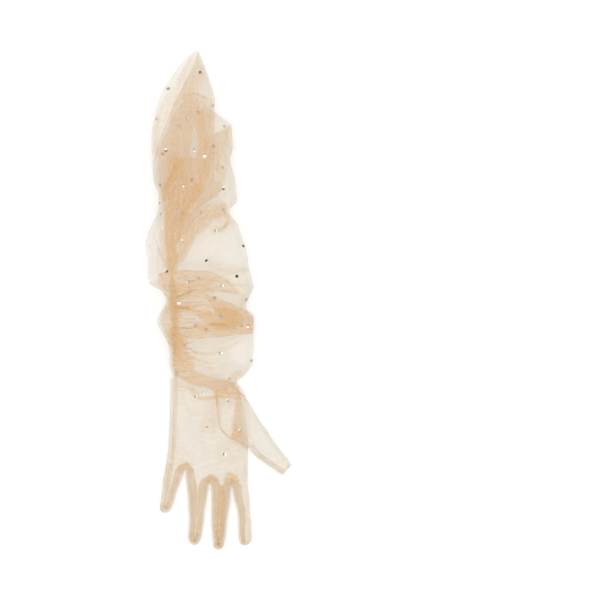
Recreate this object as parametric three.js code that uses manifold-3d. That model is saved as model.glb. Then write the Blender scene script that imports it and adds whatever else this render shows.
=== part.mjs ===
// A long tulle dress glove with a ruched sleeve and scattered rhinestones, lying flat with the thumb to the right.
// Millimetres, +Z up. The origin is under the middle of the glove, on the surface that it lies on. +Y runs from
// the fingertips to the open end of the sleeve.
import * as THREE from "three";
import { mergeVertices } from "three/addons/utils/BufferGeometryUtils.js";
import Module from "manifold-3d";

const WALL = 1.6; // thickness of the tulle's wall
const GAP = 0.35; // clearance between neighbouring pieces
const WRIST_Y = -98.9; // where the sleeve is joined to the hand
const SECTION_STEP = 7; // widest spacing of the sleeve's sections along its length
const RIM_SHARE = 0.3; // height of a section's widest line, as a share of its top
const CROWN = 0.42; // exponent of a section's upper layer, small for a full crown
const FLAT_SHARE = 0.92; // how much of a section's width lies flat on the surface
const FAR = 400; // past every side of the glove
const STEEPEST = 1.8; // how far the wall is thickened sideways where a section's side runs aslant
const SPANS = { sleeve: 20, palm: 14, finger: 8 }; // divisions across a section's upper layer
const STONE = { radius: 1.9, table: 0.95, girdle: 0.45, height: 1.5, sides: 8 };

const TULLE = { color: 0xd9b48b, roughness: 0.75, metalness: 0 };
const SEAM_TULLE = { color: 0xcf9f6c, roughness: 0.8, metalness: 0 };
const CRYSTAL = { color: 0xe8eaee, roughness: 0.08, metalness: 0.35 };

// Each row is one section across the sleeve: its place along Y, its two sides and its height.
const SLEEVE_SECTIONS = [
  { y: WRIST_Y, left: -54.6, right: 21.5, top: 15 },
  { y: -92, left: -53.8, right: 24.5, top: 18 },
  { y: -84, left: -53.8, right: 32, top: 22 },
  { y: -76, left: -55.2, right: 38, top: 25 },
  { y: -62, left: -56.4, right: 41, top: 27 },
  { y: -46, left: -59.2, right: 41.4, top: 26 },
  { y: -37, left: -64.5, right: 42, top: 24 },
  { y: -25, left: -70.7, right: 42, top: 22 },
  { y: -17, left: -69, right: 41, top: 21 },
  { y: -10, left: -65, right: 35.5, top: 21 },
  { y: -4, left: -61.5, right: 32.5, top: 22 },
  { y: 3, left: -60.8, right: 35.2, top: 23 },
  { y: 10, left: -65.5, right: 38.5, top: 25 },
  { y: 16, left: -77, right: 40.8, top: 27 },
  { y: 23, left: -79.9, right: 38.8, top: 29 },
  { y: 37, left: -80, right: 35.2, top: 31 },
  { y: 51, left: -81, right: 33.8, top: 31 },
  { y: 64, left: -83.2, right: 30.4, top: 30 },
  { y: 78, left: -79.6, right: 25.2, top: 28 },
  { y: 88, left: -75, right: 22.2, top: 25 },
  { y: 97, left: -70, right: 13.8, top: 23 },
  { y: 104, left: -68.6, right: 13.4, top: 23 },
  { y: 112, left: -68.2, right: 22.2, top: 24 },
  { y: 122, left: -68, right: 21.3, top: 25 },
  { y: 133, left: -73, right: 20.1, top: 26 },
  { y: 147, left: -75.3, right: 17.9, top: 26 },
  { y: 161, left: -76.5, right: 14.6, top: 25 },
  { y: 175, left: -76.5, right: 17, top: 24 },
  { y: 189, left: -76, right: 16.9, top: 22 },
  { y: 201, left: -75, right: 16.2, top: 21 },
  { y: 209, left: -73, right: 6.5, top: 20 },
  { y: 216, left: -72, right: -2.6, top: 19 },
  { y: 230, left: -68.4, right: -3, top: 17 },
  { y: 244, left: -61.5, right: -7.4, top: 15 },
  { y: 258, left: -52.5, right: -12, top: 13 },
  { y: 272, left: -41.6, right: -17, top: 11 },
  { y: 281, left: -32, right: -21, top: 9 },
  { y: 285, left: -25.5, right: -22.5, top: 7 },
];

// Folds of the gathered tulle, each a ridge along a bent line from (x0, y0) through (x1, y1) to (x2, y2).
const FOLDS = [
  { name: "cuff_roll", x0: -50, y0: -84, x1: -14, y1: -92, x2: 18, y2: -95, width: 7, lift: 5 },
  { name: "low_crease", x0: -34, y0: -72, x1: -12, y1: -79, x2: 8, y2: -82, width: 5, lift: 3 },
  { name: "puff_crease", x0: -40, y0: -52, x1: -8, y1: -60, x2: 30, y2: -44, width: 6, lift: 4 },
  { name: "waist_roll", x0: -50, y0: -33, x1: -4, y1: -34, x2: 36, y2: -30, width: 8, lift: 6 },
  { name: "waist_tuck", x0: -44, y0: -10, x1: 4, y1: -9, x2: 32, y2: -17, width: 7, lift: 5 },
  { name: "slant_tuck", x0: -20, y0: 6, x1: 4, y1: -2, x2: 26, y2: -9, width: 6, lift: 4 },
  { name: "arch_low", x0: -48, y0: 6, x1: 0, y1: 13, x2: 28, y2: 8, width: 6, lift: 4 },
  { name: "arch_high", x0: -44, y0: 27, x1: -4, y1: 29, x2: 26, y2: 12, width: 7, lift: 5 },
  { name: "left_crease", x0: -72, y0: 76, x1: -66, y1: 58, x2: -56, y2: 42, width: 6, lift: 4 },
  { name: "sash_low", x0: -4, y0: 100, x1: -30, y1: 76, x2: -46, y2: 46, width: 8, lift: 6 },
  { name: "sash_high", x0: 14, y0: 128, x1: -20, y1: 106, x2: -44, y2: 66, width: 8, lift: 6 },
  { name: "hook_fold", x0: -2, y0: 84, x1: 9, y1: 86, x2: 12, y2: 98, width: 5, lift: 4 },
  { name: "column_left", x0: -46, y0: 176, x1: -56, y1: 138, x2: -56, y2: 92, width: 7, lift: 6 },
  { name: "column_mid", x0: -30, y0: 206, x1: -38, y1: 160, x2: -44, y2: 110, width: 8, lift: 6 },
  { name: "column_right", x0: -14, y0: 212, x1: -14, y1: 172, x2: -26, y2: 130, width: 8, lift: 6 },
  { name: "shoulder_fold", x0: 10, y0: 190, x1: 4, y1: 158, x2: -6, y2: 138, width: 7, lift: 4 },
  { name: "crown_fold", x0: -42, y0: 226, x1: -28, y1: 236, x2: -8, y2: 228, width: 6, lift: 4 },
];

// The upper layer's cut edge at the sleeve's mouth, from the tip down the side to where both layers meet.
const MOUTH_EDGE = [
  { x: -25, y: 290 },
  { x: -32, y: 262 },
  { x: -42.5, y: 241 },
  { x: -52, y: 220 },
  { x: -61, y: 200 },
  { x: -69, y: 180 },
  { x: -73.5, y: 163 },
  { x: -86, y: 150 },
];
const MOUTH_Z = 4.6; // height over the surface at which the mouth's cut begins

const PALM_SECTIONS = [
  { y: WRIST_Y, left: -54.6, right: 21.5, top: 15 },
  { y: -112, left: -54.6, right: 28, top: 15 },
  { y: -130, left: -55.6, right: 33, top: 14.5 },
  { y: -150, left: -55.8, right: 34.4, top: 14 },
  { y: -168, left: -57, right: 34.8, top: 13.5 },
  { y: -192.5, left: -60.6, right: 35, top: 12.5 },
  { y: -197, left: -61.4, right: 35, top: 12 },
];
const SEAM_TURN_Y = { middle: -188, ends: -191.5 }; // where the seams between the fingers turn round

const FINGERS = {
  little: [
    { y: -180, left: -59, right: -37, top: 12 },
    { y: -196, left: -61.4, right: -37.8, top: 12 },
    { y: -205, left: -63.2, right: -42.2, top: 12 },
    { y: -219, left: -64, right: -47.6, top: 11.5 },
    { y: -232, left: -65.4, right: -51.2, top: 11 },
    { y: -240, left: -65, right: -54, top: 10 },
    { y: -243, left: -61.5, right: -57, top: 8 },
  ],
  ring: [
    { y: -180, left: -37.6, right: -9, top: 12 },
    { y: -200, left: -37.4, right: -8.8, top: 12 },
    { y: -209, left: -36, right: -9.6, top: 12 },
    { y: -225, left: -34, right: -12.8, top: 11.5 },
    { y: -246, left: -33.6, right: -16.6, top: 11 },
    { y: -267, left: -33.2, right: -19.2, top: 11 },
    { y: -276, left: -31.8, right: -21, top: 10 },
    { y: -280.6, left: -28.5, right: -24.4, top: 8 },
  ],
  middle: [
    { y: -180, left: -10, right: 16, top: 12 },
    { y: -202, left: -9.4, right: 15.8, top: 12 },
    { y: -212, left: -8, right: 15.2, top: 12 },
    { y: -225, left: -7.4, right: 14.4, top: 11.5 },
    { y: -246, left: -7.4, right: 10.8, top: 11 },
    { y: -267, left: -6.6, right: 8.6, top: 11 },
    { y: -279, left: -5.6, right: 7, top: 10 },
    { y: -285, left: -3.4, right: 4.4, top: 8 },
  ],
  index: [
    { y: -180, left: 15, right: 35, top: 12 },
    { y: -206, left: 15.4, right: 35.2, top: 12 },
    { y: -214, left: 16.8, right: 35.4, top: 12 },
    { y: -226, left: 18.6, right: 35.8, top: 11.5 },
    { y: -239, left: 22.2, right: 36.4, top: 11 },
    { y: -256, left: 23.4, right: 37.4, top: 11 },
    { y: -274, left: 24, right: 38.6, top: 10 },
    { y: -281, left: 26, right: 36, top: 8 },
  ],
};

// Where the finger tubes leave the palm: each one's strip in plan, below the line across its root.
const FINGER_ROOTS = {
  little: { left: -70, right: -38.1, y: -198 },
  ring: { left: -38.1, right: -9.2, y: -210.5 },
  middle: { left: -9.2, right: 15.9, y: -214.5 },
  index: { left: 15.9, right: 42, y: -214.5 },
};

// The thumb's sections run slantwise, from its outer side to its inner side.
const THUMB_SECTIONS = [
  { outerX: 20, outerY: -101, innerX: 10, innerY: -146, top: 14 },
  { outerX: 30.5, outerY: -110.5, innerX: 26, innerY: -164, top: 14 },
  { outerX: 40.8, outerY: -127, innerX: 35.2, innerY: -172, top: 14 },
  { outerX: 51.2, outerY: -142.6, innerX: 43.2, innerY: -179, top: 13.5 },
  { outerX: 61.6, outerY: -158, innerX: 53.5, innerY: -186, top: 13 },
  { outerX: 71.8, outerY: -172.4, innerX: 63.8, innerY: -193.6, top: 12 },
  { outerX: 79, outerY: -182, innerX: 70.4, innerY: -198, top: 11 },
  { outerX: 83.2, outerY: -188, innerX: 74.6, innerY: -199.4, top: 9.5 },
];

// The seam where the thumb piece is set into the palm, seen from above.
const THUMB_SEAM_PLAN = [
  { x: 8, y: -92 },
  { x: -2, y: -103 },
  { x: -1.8, y: -130 },
  { x: 2, y: -144 },
  { x: 9.6, y: -155 },
  { x: 18, y: -159 },
  { x: 28, y: -166 },
  { x: 36, y: -173.4 },
];
const THUMB_ROOT = { x: 34.6, z: 3.2 }; // the palm's folded side, and the seam's height over the surface

// Seam allowances: flat ribbons inside, along the sewn edges.
const SEAM = { width: 3.4, thickness: 1, z: WALL + GAP, shortOfTip: 2 };
const GATHERED_SEAM = { width: 6, thickness: 1.2, ripple: 1.1, pitch: 12 };
const GATHERED_SEAM_PATH = [
  { x: -46, y: -97 },
  { x: -45, y: -80 },
  { x: -46, y: -58 },
  { x: -46, y: -30 },
  { x: -49, y: 2 },
  { x: -51, y: 36 },
  { x: -52, y: 66 },
  { x: -56, y: 96 },
  { x: -57, y: 112 },
];

// Rhinestones that show on the upper layer, as places seen from above.
const STONES = [
  { x: -20.7, y: 260 },
  { x: -6, y: 222.4 },
  { x: -23.1, y: 214.1 },
  { x: -34.6, y: 208.2 },
  { x: -44.5, y: 199.1 },
  { x: 6.7, y: 198 },
  { x: -59.3, y: 170.9 },
  { x: -27.1, y: 171.2 },
  { x: -5.9, y: 167.3 },
  { x: -15.2, y: 164.3 },
  { x: 4.9, y: 151.6 },
  { x: -39.7, y: 131 },
  { x: 6.2, y: 127.1 },
  { x: -65.8, y: 111 },
  { x: -64.8, y: 98 },
  { x: -45.9, y: 103.4 },
  { x: 5.6, y: 103.4 },
  { x: -19.4, y: 100.4 },
  { x: -2.6, y: 79 },
  { x: 28.2, y: 61.4 },
  { x: -40.6, y: 67.4 },
  { x: -12.9, y: 44.6 },
  { x: -58.4, y: 33 },
  { x: 21.5, y: 27.1 },
  { x: -33.6, y: 20.5 },
  { x: -22.3, y: 25.4 },
  { x: 4.9, y: 16.3 },
  { x: -44.2, y: -3 },
  { x: 3.7, y: -19.3 },
  { x: 33.4, y: -30 },
  { x: 18.9, y: -31.6 },
  { x: -26, y: -29.4 },
  { x: -38, y: -52.1 },
  { x: 3.5, y: -60.4 },
  { x: 12.9, y: -89.8 },
  { x: -47.2, y: -83.8 },
  { x: -25.4, y: -109.8 },
  { x: 11, y: -115.1 },
  { x: -12.9, y: -144.6 },
  { x: 24.8, y: -149.2 },
  { x: 7.6, y: -176.1 },
];

const manifold = await Module();
manifold.setup();

// Turns closed geometry into a solid that can be cut and joined.
function solidOf(geometry) {
  const bare = geometry.index ? geometry.toNonIndexed() : geometry.clone();
  bare.deleteAttribute("normal");
  bare.deleteAttribute("uv");
  const merged = mergeVertices(bare, 1e-4);
  return new manifold.Manifold(
    new manifold.Mesh({
      numProp: 3,
      vertProperties: new Float32Array(merged.attributes.position.array),
      triVerts: new Uint32Array(merged.index.array),
    }),
  );
}

function geometryOf(solid) {
  const mesh = solid.getMesh();
  const places = new Float32Array(mesh.numVert * 3);
  for (let i = 0; i < mesh.numVert; i++) {
    places.set(mesh.vertProperties.subarray(i * mesh.numProp, i * mesh.numProp + 3), i * 3);
  }
  const geometry = new THREE.BufferGeometry();
  geometry.setAttribute("position", new THREE.BufferAttribute(places, 3));
  geometry.setIndex(new THREE.BufferAttribute(new Uint32Array(mesh.triVerts), 1));
  return geometry;
}

// Reads a table of rows ordered along Y, with straight lines between the rows.
function rowAt(rows, y) {
  const falling = rows[0].y > rows[rows.length - 1].y;
  const ordered = falling ? [...rows].reverse() : rows;
  let i = ordered.findIndex((row) => row.y > y);
  if (i < 0) i = ordered.length - 1;
  i = Math.max(i, 1);
  const [a, b] = [ordered[i - 1], ordered[i]];
  const t = THREE.MathUtils.clamp((y - a.y) / (b.y - a.y), 0, 1);
  const made = {};
  for (const key of Object.keys(a)) made[key] = THREE.MathUtils.lerp(a[key], b[key], t);
  made.y = y;
  return made;
}

function foldCurve(fold) {
  const points = [
    new THREE.Vector2(fold.x0, fold.y0),
    new THREE.Vector2(fold.x1, fold.y1),
    new THREE.Vector2(fold.x2, fold.y2),
  ];
  return new THREE.SplineCurve(points).getPoints(16);
}
const foldLines = FOLDS.map((fold) => ({ ...fold, points: foldCurve(fold) }));

// Height that the folds add to the sleeve's upper layer at a place in plan.
function foldLift(x, y) {
  let lift = 0;
  for (const fold of foldLines) {
    let nearest = Infinity;
    let share = 0;
    fold.points.forEach((p, i) => {
      const d = Math.hypot(p.x - x, p.y - y);
      if (d < nearest) {
        nearest = d;
        share = i / (fold.points.length - 1);
      }
    });
    if (nearest > fold.width) continue;
    const taper = Math.sin(Math.PI * (0.12 + 0.76 * share));
    lift += fold.lift * taper * Math.cos((nearest / fold.width) * (Math.PI / 2)) ** 2;
  }
  return lift;
}

// A closed ring of points round one section, from side a to side b: a crowned upper layer with its folds, and a
// flat underside. The inset makes the wall's inner face, and sideInset is its inset at the two sides.
function sectionRing({ a, b, top, spans, inset, sideInset = inset, lift }) {
  const span = b.clone().sub(a);
  const half = span.length() / 2 - sideInset;
  const across = span.normalize();
  const middle = a.clone().add(b).multiplyScalar(0.5);
  const rim = Math.max(top * RIM_SHARE, inset + 1.2);
  const ring = [];
  for (let i = 0; i <= spans; i++) {
    const even = (2 * i) / spans - 1;
    const t = THREE.MathUtils.lerp(-Math.cos((Math.PI * i) / spans), even, 0.55);
    const place = middle.clone().addScaledVector(across, half * t);
    const crown = Math.max(0, 1 - t * t);
    let z = rim + (top - inset - rim) * crown ** CROWN;
    if (lift) z += lift(place.x, place.y) * Math.sqrt(crown);
    ring.push(new THREE.Vector3(place.x, place.y, z));
  }
  for (const t of [FLAT_SHARE, -FLAT_SHARE]) {
    const place = middle.clone().addScaledVector(across, half * t);
    ring.push(new THREE.Vector3(place.x, place.y, inset));
  }
  return ring;
}

// Skins a row of rings and closes both ends with a fan.
function loft(rings) {
  const around = rings[0].length;
  const points = rings.flat();
  const faces = [];
  for (let r = 0; r + 1 < rings.length; r++) {
    for (let i = 0; i < around; i++) {
      const next = (i + 1) % around;
      const [p, q] = [r * around + i, r * around + next];
      faces.push(p, p + around, q, q, p + around, q + around);
    }
  }
  for (const end of [0, rings.length - 1]) {
    const centre = new THREE.Vector3();
    rings[end].forEach((p) => centre.add(p));
    points.push(centre.divideScalar(around));
    for (let i = 0; i < around; i++) {
      const [p, q] = [end * around + i, end * around + ((i + 1) % around)];
      if (end === 0) faces.push(points.length - 1, p, q);
      else faces.push(points.length - 1, q, p);
    }
  }
  const geometry = new THREE.BufferGeometry().setFromPoints(points);
  geometry.setIndex(faces);
  const solid = solidOf(geometry);
  if (solid.volume() >= 0) return solid;
  for (let i = 0; i < faces.length; i += 3) [faces[i + 1], faces[i + 2]] = [faces[i + 2], faces[i + 1]];
  geometry.setIndex(faces);
  return solidOf(geometry);
}

// A prism over a closed outline seen from above, from z = low to z = high.
function prism(outline, low, high) {
  const shape = new THREE.Shape(outline.map((p) => new THREE.Vector2(p.x, p.y)));
  const geometry = new THREE.ExtrudeGeometry(shape, { depth: high - low, bevelEnabled: false });
  return solidOf(geometry.translate(0, 0, low));
}

function box(low, high) {
  const size = new THREE.Vector3().subVectors(high, low);
  const centre = new THREE.Vector3().addVectors(low, high).multiplyScalar(0.5);
  return solidOf(new THREE.BoxGeometry(size.x, size.y, size.z).translate(centre.x, centre.y, centre.z));
}

// One section straight across, taken from a table. Where the sides run aslant the wall is thickened sideways.
function crossSection(rows, y, spans, inset, lift) {
  const row = rowAt(rows, y);
  const before = rowAt(rows, y - 1);
  const after = rowAt(rows, y + 1);
  const slant = Math.max(Math.abs(after.left - before.left), Math.abs(after.right - before.right)) / 2;
  const sideInset = inset * Math.min(STEEPEST, Math.hypot(1, slant));
  const a = new THREE.Vector2(row.left, y);
  const b = new THREE.Vector2(row.right, y);
  return sectionRing({ a, b, top: row.top, spans, inset, sideInset, lift });
}

// The places of a table's sections along Y, with more between them where they are far apart.
function stations(rows, step) {
  const places = [rows[0].y];
  for (let i = 1; i < rows.length; i++) {
    const count = Math.ceil(Math.abs(rows[i].y - rows[i - 1].y) / step - 0.15);
    for (let k = 1; k <= count; k++) places.push(THREE.MathUtils.lerp(rows[i - 1].y, rows[i].y, k / count));
  }
  return places;
}

// The sleeve's outer form, or its hollow when inset is the wall. The hollow runs on past the wrist.
function sleeveForm(inset) {
  const rows = inset ? SLEEVE_SECTIONS.slice(0, -1) : SLEEVE_SECTIONS;
  const rings = stations(rows, SECTION_STEP).map((y) => crossSection(rows, y, SPANS.sleeve, inset, foldLift));
  if (inset) {
    const past = rings[0].map((p) => p.clone().setY(WRIST_Y - 4 * WALL));
    rings.unshift(past);
  }
  return loft(rings);
}

function palmForm(inset) {
  const rows = inset ? PALM_SECTIONS.slice(0, -1) : PALM_SECTIONS;
  const rings = rows.map((row) => crossSection(rows, row.y, SPANS.palm, inset, foldLift));
  if (inset) rings.unshift(rings[0].map((p) => p.clone().setY(WRIST_Y + 4 * WALL)));
  return loft(rings);
}

function fingerForm(rows, inset) {
  const shown = inset ? rows.slice(0, -1) : rows;
  return loft(shown.map((row) => crossSection(rows, row.y, SPANS.finger, inset)));
}

function thumbForm(inset) {
  const rows = inset ? THUMB_SECTIONS.slice(0, -1) : THUMB_SECTIONS;
  const rings = rows.map((row) => {
    const a = new THREE.Vector2(row.innerX, row.innerY);
    const b = new THREE.Vector2(row.outerX, row.outerY);
    return sectionRing({ a, b, top: row.top, spans: SPANS.finger, inset });
  });
  return loft(rings);
}

function gloveForm(inset) {
  let form = sleeveForm(inset).add(palmForm(inset)).add(thumbForm(inset));
  for (const rows of Object.values(FINGERS)) form = form.add(fingerForm(rows, inset));
  return form;
}

// What lies to the side of the mouth's edge, over the lower layer's rim.
function mouthCut() {
  const [tip, low] = [MOUTH_EDGE[0], MOUTH_EDGE[MOUTH_EDGE.length - 1]];
  return prism([...MOUTH_EDGE, { x: -FAR, y: low.y }, { x: -FAR, y: FAR }, { x: tip.x, y: FAR }], MOUTH_Z, FAR);
}

// The thumb piece: its free length cut right through, and its root in the upper layer alone.
function thumbCut(grow) {
  const end = THUMB_SEAM_PLAN[THUMB_SEAM_PLAN.length - 1];
  const wrist = THUMB_SEAM_PLAN[0];
  const seam = THUMB_SEAM_PLAN.map((p) => ({ x: p.x - grow, y: p.y - grow }));
  const root = [...seam, { x: FAR, y: end.y - grow }, { x: FAR, y: wrist.y }];
  const free = [
    { x: THUMB_ROOT.x - grow, y: wrist.y },
    { x: THUMB_ROOT.x - grow, y: end.y - grow },
    { x: THUMB_ROOT.x + 2 * (end.x - THUMB_ROOT.x), y: end.y - grow },
    { x: FAR / 2, y: -FAR },
    { x: FAR, y: -FAR },
    { x: FAR, y: wrist.y },
  ];
  return prism(root, THUMB_ROOT.z - grow, FAR).add(prism(free, -1, FAR)).intersect(underWrist);
}

// Everything below the line across a finger's root, in that finger's strip.
function fingerCut(root, grow) {
  return box(new THREE.Vector3(root.left, -FAR, -FAR), new THREE.Vector3(root.right, root.y + grow, FAR));
}

const overWrist = box(new THREE.Vector3(-FAR, WRIST_Y + GAP / 2, -FAR), new THREE.Vector3(FAR, FAR, FAR));
const underWrist = box(new THREE.Vector3(-FAR, -FAR, -FAR), new THREE.Vector3(FAR, WRIST_Y - GAP / 2, FAR));
const largest = (solid) => solid.decompose().sort((a, b) => b.volume() - a.volume())[0];
const shell = gloveForm(0).subtract(gloveForm(WALL));
const sleeve = largest(shell.intersect(overWrist).subtract(mouthCut()));
const handAndThumb = shell.intersect(underWrist);
const fingersAndPalm = largest(handAndThumb.subtract(thumbCut(GAP)));
const fingers = Object.entries(FINGER_ROOTS).map(([name, root]) => ({
  name: `finger_${name}`,
  solid: largest(fingersAndPalm.intersect(fingerCut(root, 0))),
}));
const fingerSpace = Object.values(FINGER_ROOTS).map((root) => fingerCut(root, GAP));
const hand = largest(fingerSpace.reduce((left, space) => left.subtract(space), fingersAndPalm));
const thumb = largest(handAndThumb.intersect(thumbCut(0)));

// A flat ribbon in plan along a path, made as an extruded outline.
function ribbon(path, width, thickness, z) {
  const line = path.map((p) => new THREE.Vector2(p.x, p.y));
  const left = [];
  const right = [];
  line.forEach((p, i) => {
    const ahead = line[Math.min(i + 1, line.length - 1)];
    const behind = line[Math.max(i - 1, 0)];
    const along = ahead.clone().sub(behind).normalize();
    const side = new THREE.Vector2(-along.y, along.x).multiplyScalar(width / 2);
    left.push(p.clone().add(side));
    right.unshift(p.clone().sub(side));
  });
  const shape = new THREE.Shape([...left, ...right]);
  const geometry = new THREE.ExtrudeGeometry(shape, { depth: thickness, bevelEnabled: false });
  return geometry.translate(0, 0, z);
}

// How far in from a section's side a seam's middle lies, where the wall's inner face is flat.
function seamReach(width) {
  return WALL + GAP + ((1 - FLAT_SHARE) * width) / 2 + SEAM.width / 2;
}
const leftSeam = (row) => ({ x: row.left + seamReach(row.right - row.left), y: row.y });
const rightSeam = (row) => ({ x: row.right - seamReach(row.right - row.left), y: row.y });

// The ribbon between two fingers: up one finger's side, round above the crotch, and down the next one's.
function fingerSeamPath(outerRows, innerRows) {
  const { middle, ends } = SEAM_TURN_Y;
  const up = outerRows.slice(1, -SEAM.shortOfTip).map(rightSeam);
  const down = innerRows.slice(1, -SEAM.shortOfTip).map(leftSeam);
  const turn = { x: (outerRows[1].right + innerRows[1].left) / 2, y: middle };
  return [...up.reverse(), rightSeam(rowAt(outerRows, ends)), turn, leftSeam(rowAt(innerRows, ends)), ...down];
}

function outerSidePath() {
  const palm = PALM_SECTIONS.slice(0, -1).map(leftSeam);
  palm[0].y -= 2 * GAP;
  return [...palm, ...FINGERS.little.slice(2, -SEAM.shortOfTip).map(leftSeam)];
}

function thumbSeamPath() {
  return THUMB_SECTIONS.slice(2, -SEAM.shortOfTip).map((row) => {
    const across = new THREE.Vector2(row.outerX - row.innerX, row.outerY - row.innerY);
    across.setLength(seamReach(across.length()));
    return { x: row.innerX + across.x, y: row.innerY + across.y };
  });
}

// The gathered seam of the sleeve: a rippled ribbon on its lower layer.
function sleeveSeam() {
  const path = new THREE.SplineCurve(GATHERED_SEAM_PATH.map((p) => new THREE.Vector2(p.x, p.y)));
  const length = path.getLength();
  const count = Math.round(length / (GATHERED_SEAM.pitch / 4));
  const rings = [];
  for (let i = 0; i <= count; i++) {
    const p = path.getPointAt(i / count);
    const along = path.getTangentAt(i / count);
    const side = new THREE.Vector2(-along.y, along.x).multiplyScalar(GATHERED_SEAM.width / 2);
    const wave = GATHERED_SEAM.ripple * (1 - Math.cos((2 * Math.PI * i) / 4));
    const low = WALL + GAP + wave;
    const high = low + GATHERED_SEAM.thickness;
    rings.push([
      new THREE.Vector3(p.x + side.x, p.y + side.y, low),
      new THREE.Vector3(p.x - side.x, p.y - side.y, low),
      new THREE.Vector3(p.x - side.x, p.y - side.y, high),
      new THREE.Vector3(p.x + side.x, p.y + side.y, high),
    ]);
  }
  return geometryOf(loft(rings));
}

// A flat-backed cut stone: a flat table, a ring of crown facets and a low girdle.
function stoneGeometry() {
  const { radius, table, girdle, height, sides } = STONE;
  const rings = [
    [radius, 0],
    [radius, girdle],
    [table, height],
  ].map(([r, z], level) =>
    Array.from({ length: sides }, (_, i) => {
      const angle = ((i + (level === 2 ? 0.5 : 0)) * 2 * Math.PI) / sides;
      return new THREE.Vector3(r * Math.cos(angle), r * Math.sin(angle), z);
    }),
  );
  return geometryOf(loft(rings));
}

// Seats a stone on the surface under its place in plan, clear of it by the gap all round.
function seatStone(mesh, place, surfaces) {
  const ray = new THREE.Raycaster();
  const drop = (x, y) => {
    ray.set(new THREE.Vector3(x, y, 100), new THREE.Vector3(0, 0, -1));
    const hit = ray.intersectObjects(surfaces)[0];
    return hit ? hit.point : null;
  };
  const rim = [];
  for (let i = 0; i < 12; i++) {
    const angle = (i * Math.PI) / 6;
    const r = STONE.radius;
    const hit = drop(place.x + r * Math.cos(angle), place.y + r * Math.sin(angle));
    if (!hit) throw new Error(`a stone at ${place.x}, ${place.y} hangs over an edge`);
    rim.push(hit);
  }
  const centre = drop(place.x, place.y);
  const normal = new THREE.Vector3();
  rim.forEach((p, i) => {
    const q = rim[(i + 1) % rim.length];
    normal.add(p.clone().sub(centre).cross(q.clone().sub(centre)));
  });
  normal.normalize();
  const proud = Math.max(0, ...rim.map((p) => p.clone().sub(centre).dot(normal)));
  mesh.position.copy(centre).addScaledVector(normal, proud + GAP);
  mesh.quaternion.setFromUnitVectors(new THREE.Vector3(0, 0, 1), normal);
}

const glove = new THREE.Group();

function addPiece(name, geometry, finish) {
  const mesh = new THREE.Mesh(geometry, new THREE.MeshStandardMaterial(finish));
  mesh.name = name;
  glove.add(mesh);
  return mesh;
}

const walls = [
  addPiece("sleeve", geometryOf(sleeve), TULLE),
  addPiece("hand", geometryOf(hand), TULLE),
  ...fingers.map(({ name, solid }) => addPiece(name, geometryOf(solid), TULLE)),
  addPiece("thumb", geometryOf(thumb), TULLE),
];
const neighbours = [
  ["little", "ring"],
  ["ring", "middle"],
  ["middle", "index"],
];
for (const [outer, inner] of neighbours) {
  const path = fingerSeamPath(FINGERS[outer], FINGERS[inner]);
  addPiece(`seam_${outer}_${inner}`, ribbon(path, SEAM.width, SEAM.thickness, SEAM.z), SEAM_TULLE);
}
addPiece("seam_outer_side", ribbon(outerSidePath(), SEAM.width, SEAM.thickness, SEAM.z), SEAM_TULLE);
addPiece("seam_thumb", ribbon(thumbSeamPath(), SEAM.width, SEAM.thickness, SEAM.z), SEAM_TULLE);
addPiece("seam_gathered", sleeveSeam(), SEAM_TULLE);

glove.updateMatrixWorld(true);
const stoneShape = stoneGeometry();
STONES.forEach((place, i) => {
  const stone = addPiece(`stone_${String(i + 1).padStart(2, "0")}`, stoneShape, CRYSTAL);
  seatStone(stone, place, walls);
});

export default glove;
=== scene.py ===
# A long dress glove of sheer gathered tulle with scattered rhinestones, lying flat, dressed round its solids.
# Tables are in millimetres: +X to the thumb, +Y from the fingertips to the open end, +Z up, as in the frame.
import math
from collections import namedtuple

import bmesh
import bpy
import numpy as np
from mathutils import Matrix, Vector
from mathutils.bvhtree import BVHTree
from mathutils.geometry import delaunay_2d_cdt


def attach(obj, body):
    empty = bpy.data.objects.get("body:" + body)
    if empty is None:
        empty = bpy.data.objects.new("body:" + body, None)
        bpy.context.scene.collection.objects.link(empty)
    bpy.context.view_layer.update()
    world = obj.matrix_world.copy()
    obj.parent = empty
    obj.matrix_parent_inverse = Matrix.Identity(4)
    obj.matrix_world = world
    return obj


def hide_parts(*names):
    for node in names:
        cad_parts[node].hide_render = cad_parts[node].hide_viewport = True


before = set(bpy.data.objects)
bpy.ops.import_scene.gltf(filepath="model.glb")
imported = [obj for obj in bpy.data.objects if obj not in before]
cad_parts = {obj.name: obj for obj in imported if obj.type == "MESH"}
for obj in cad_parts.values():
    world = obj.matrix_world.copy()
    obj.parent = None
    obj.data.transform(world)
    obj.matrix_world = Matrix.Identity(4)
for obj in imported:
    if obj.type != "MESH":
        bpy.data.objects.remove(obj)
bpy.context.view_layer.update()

bl_info = {
    "name": "Tulle dress glove",
    "version": (1, 0, 0),
    "blender": (4, 5, 0),
    "location": "View3D > Sidebar > Glove",
    "description": "Dresses a long gathered glove in sheer net, with its seams and rhinestones",
    "category": "Add Mesh",
}

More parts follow.
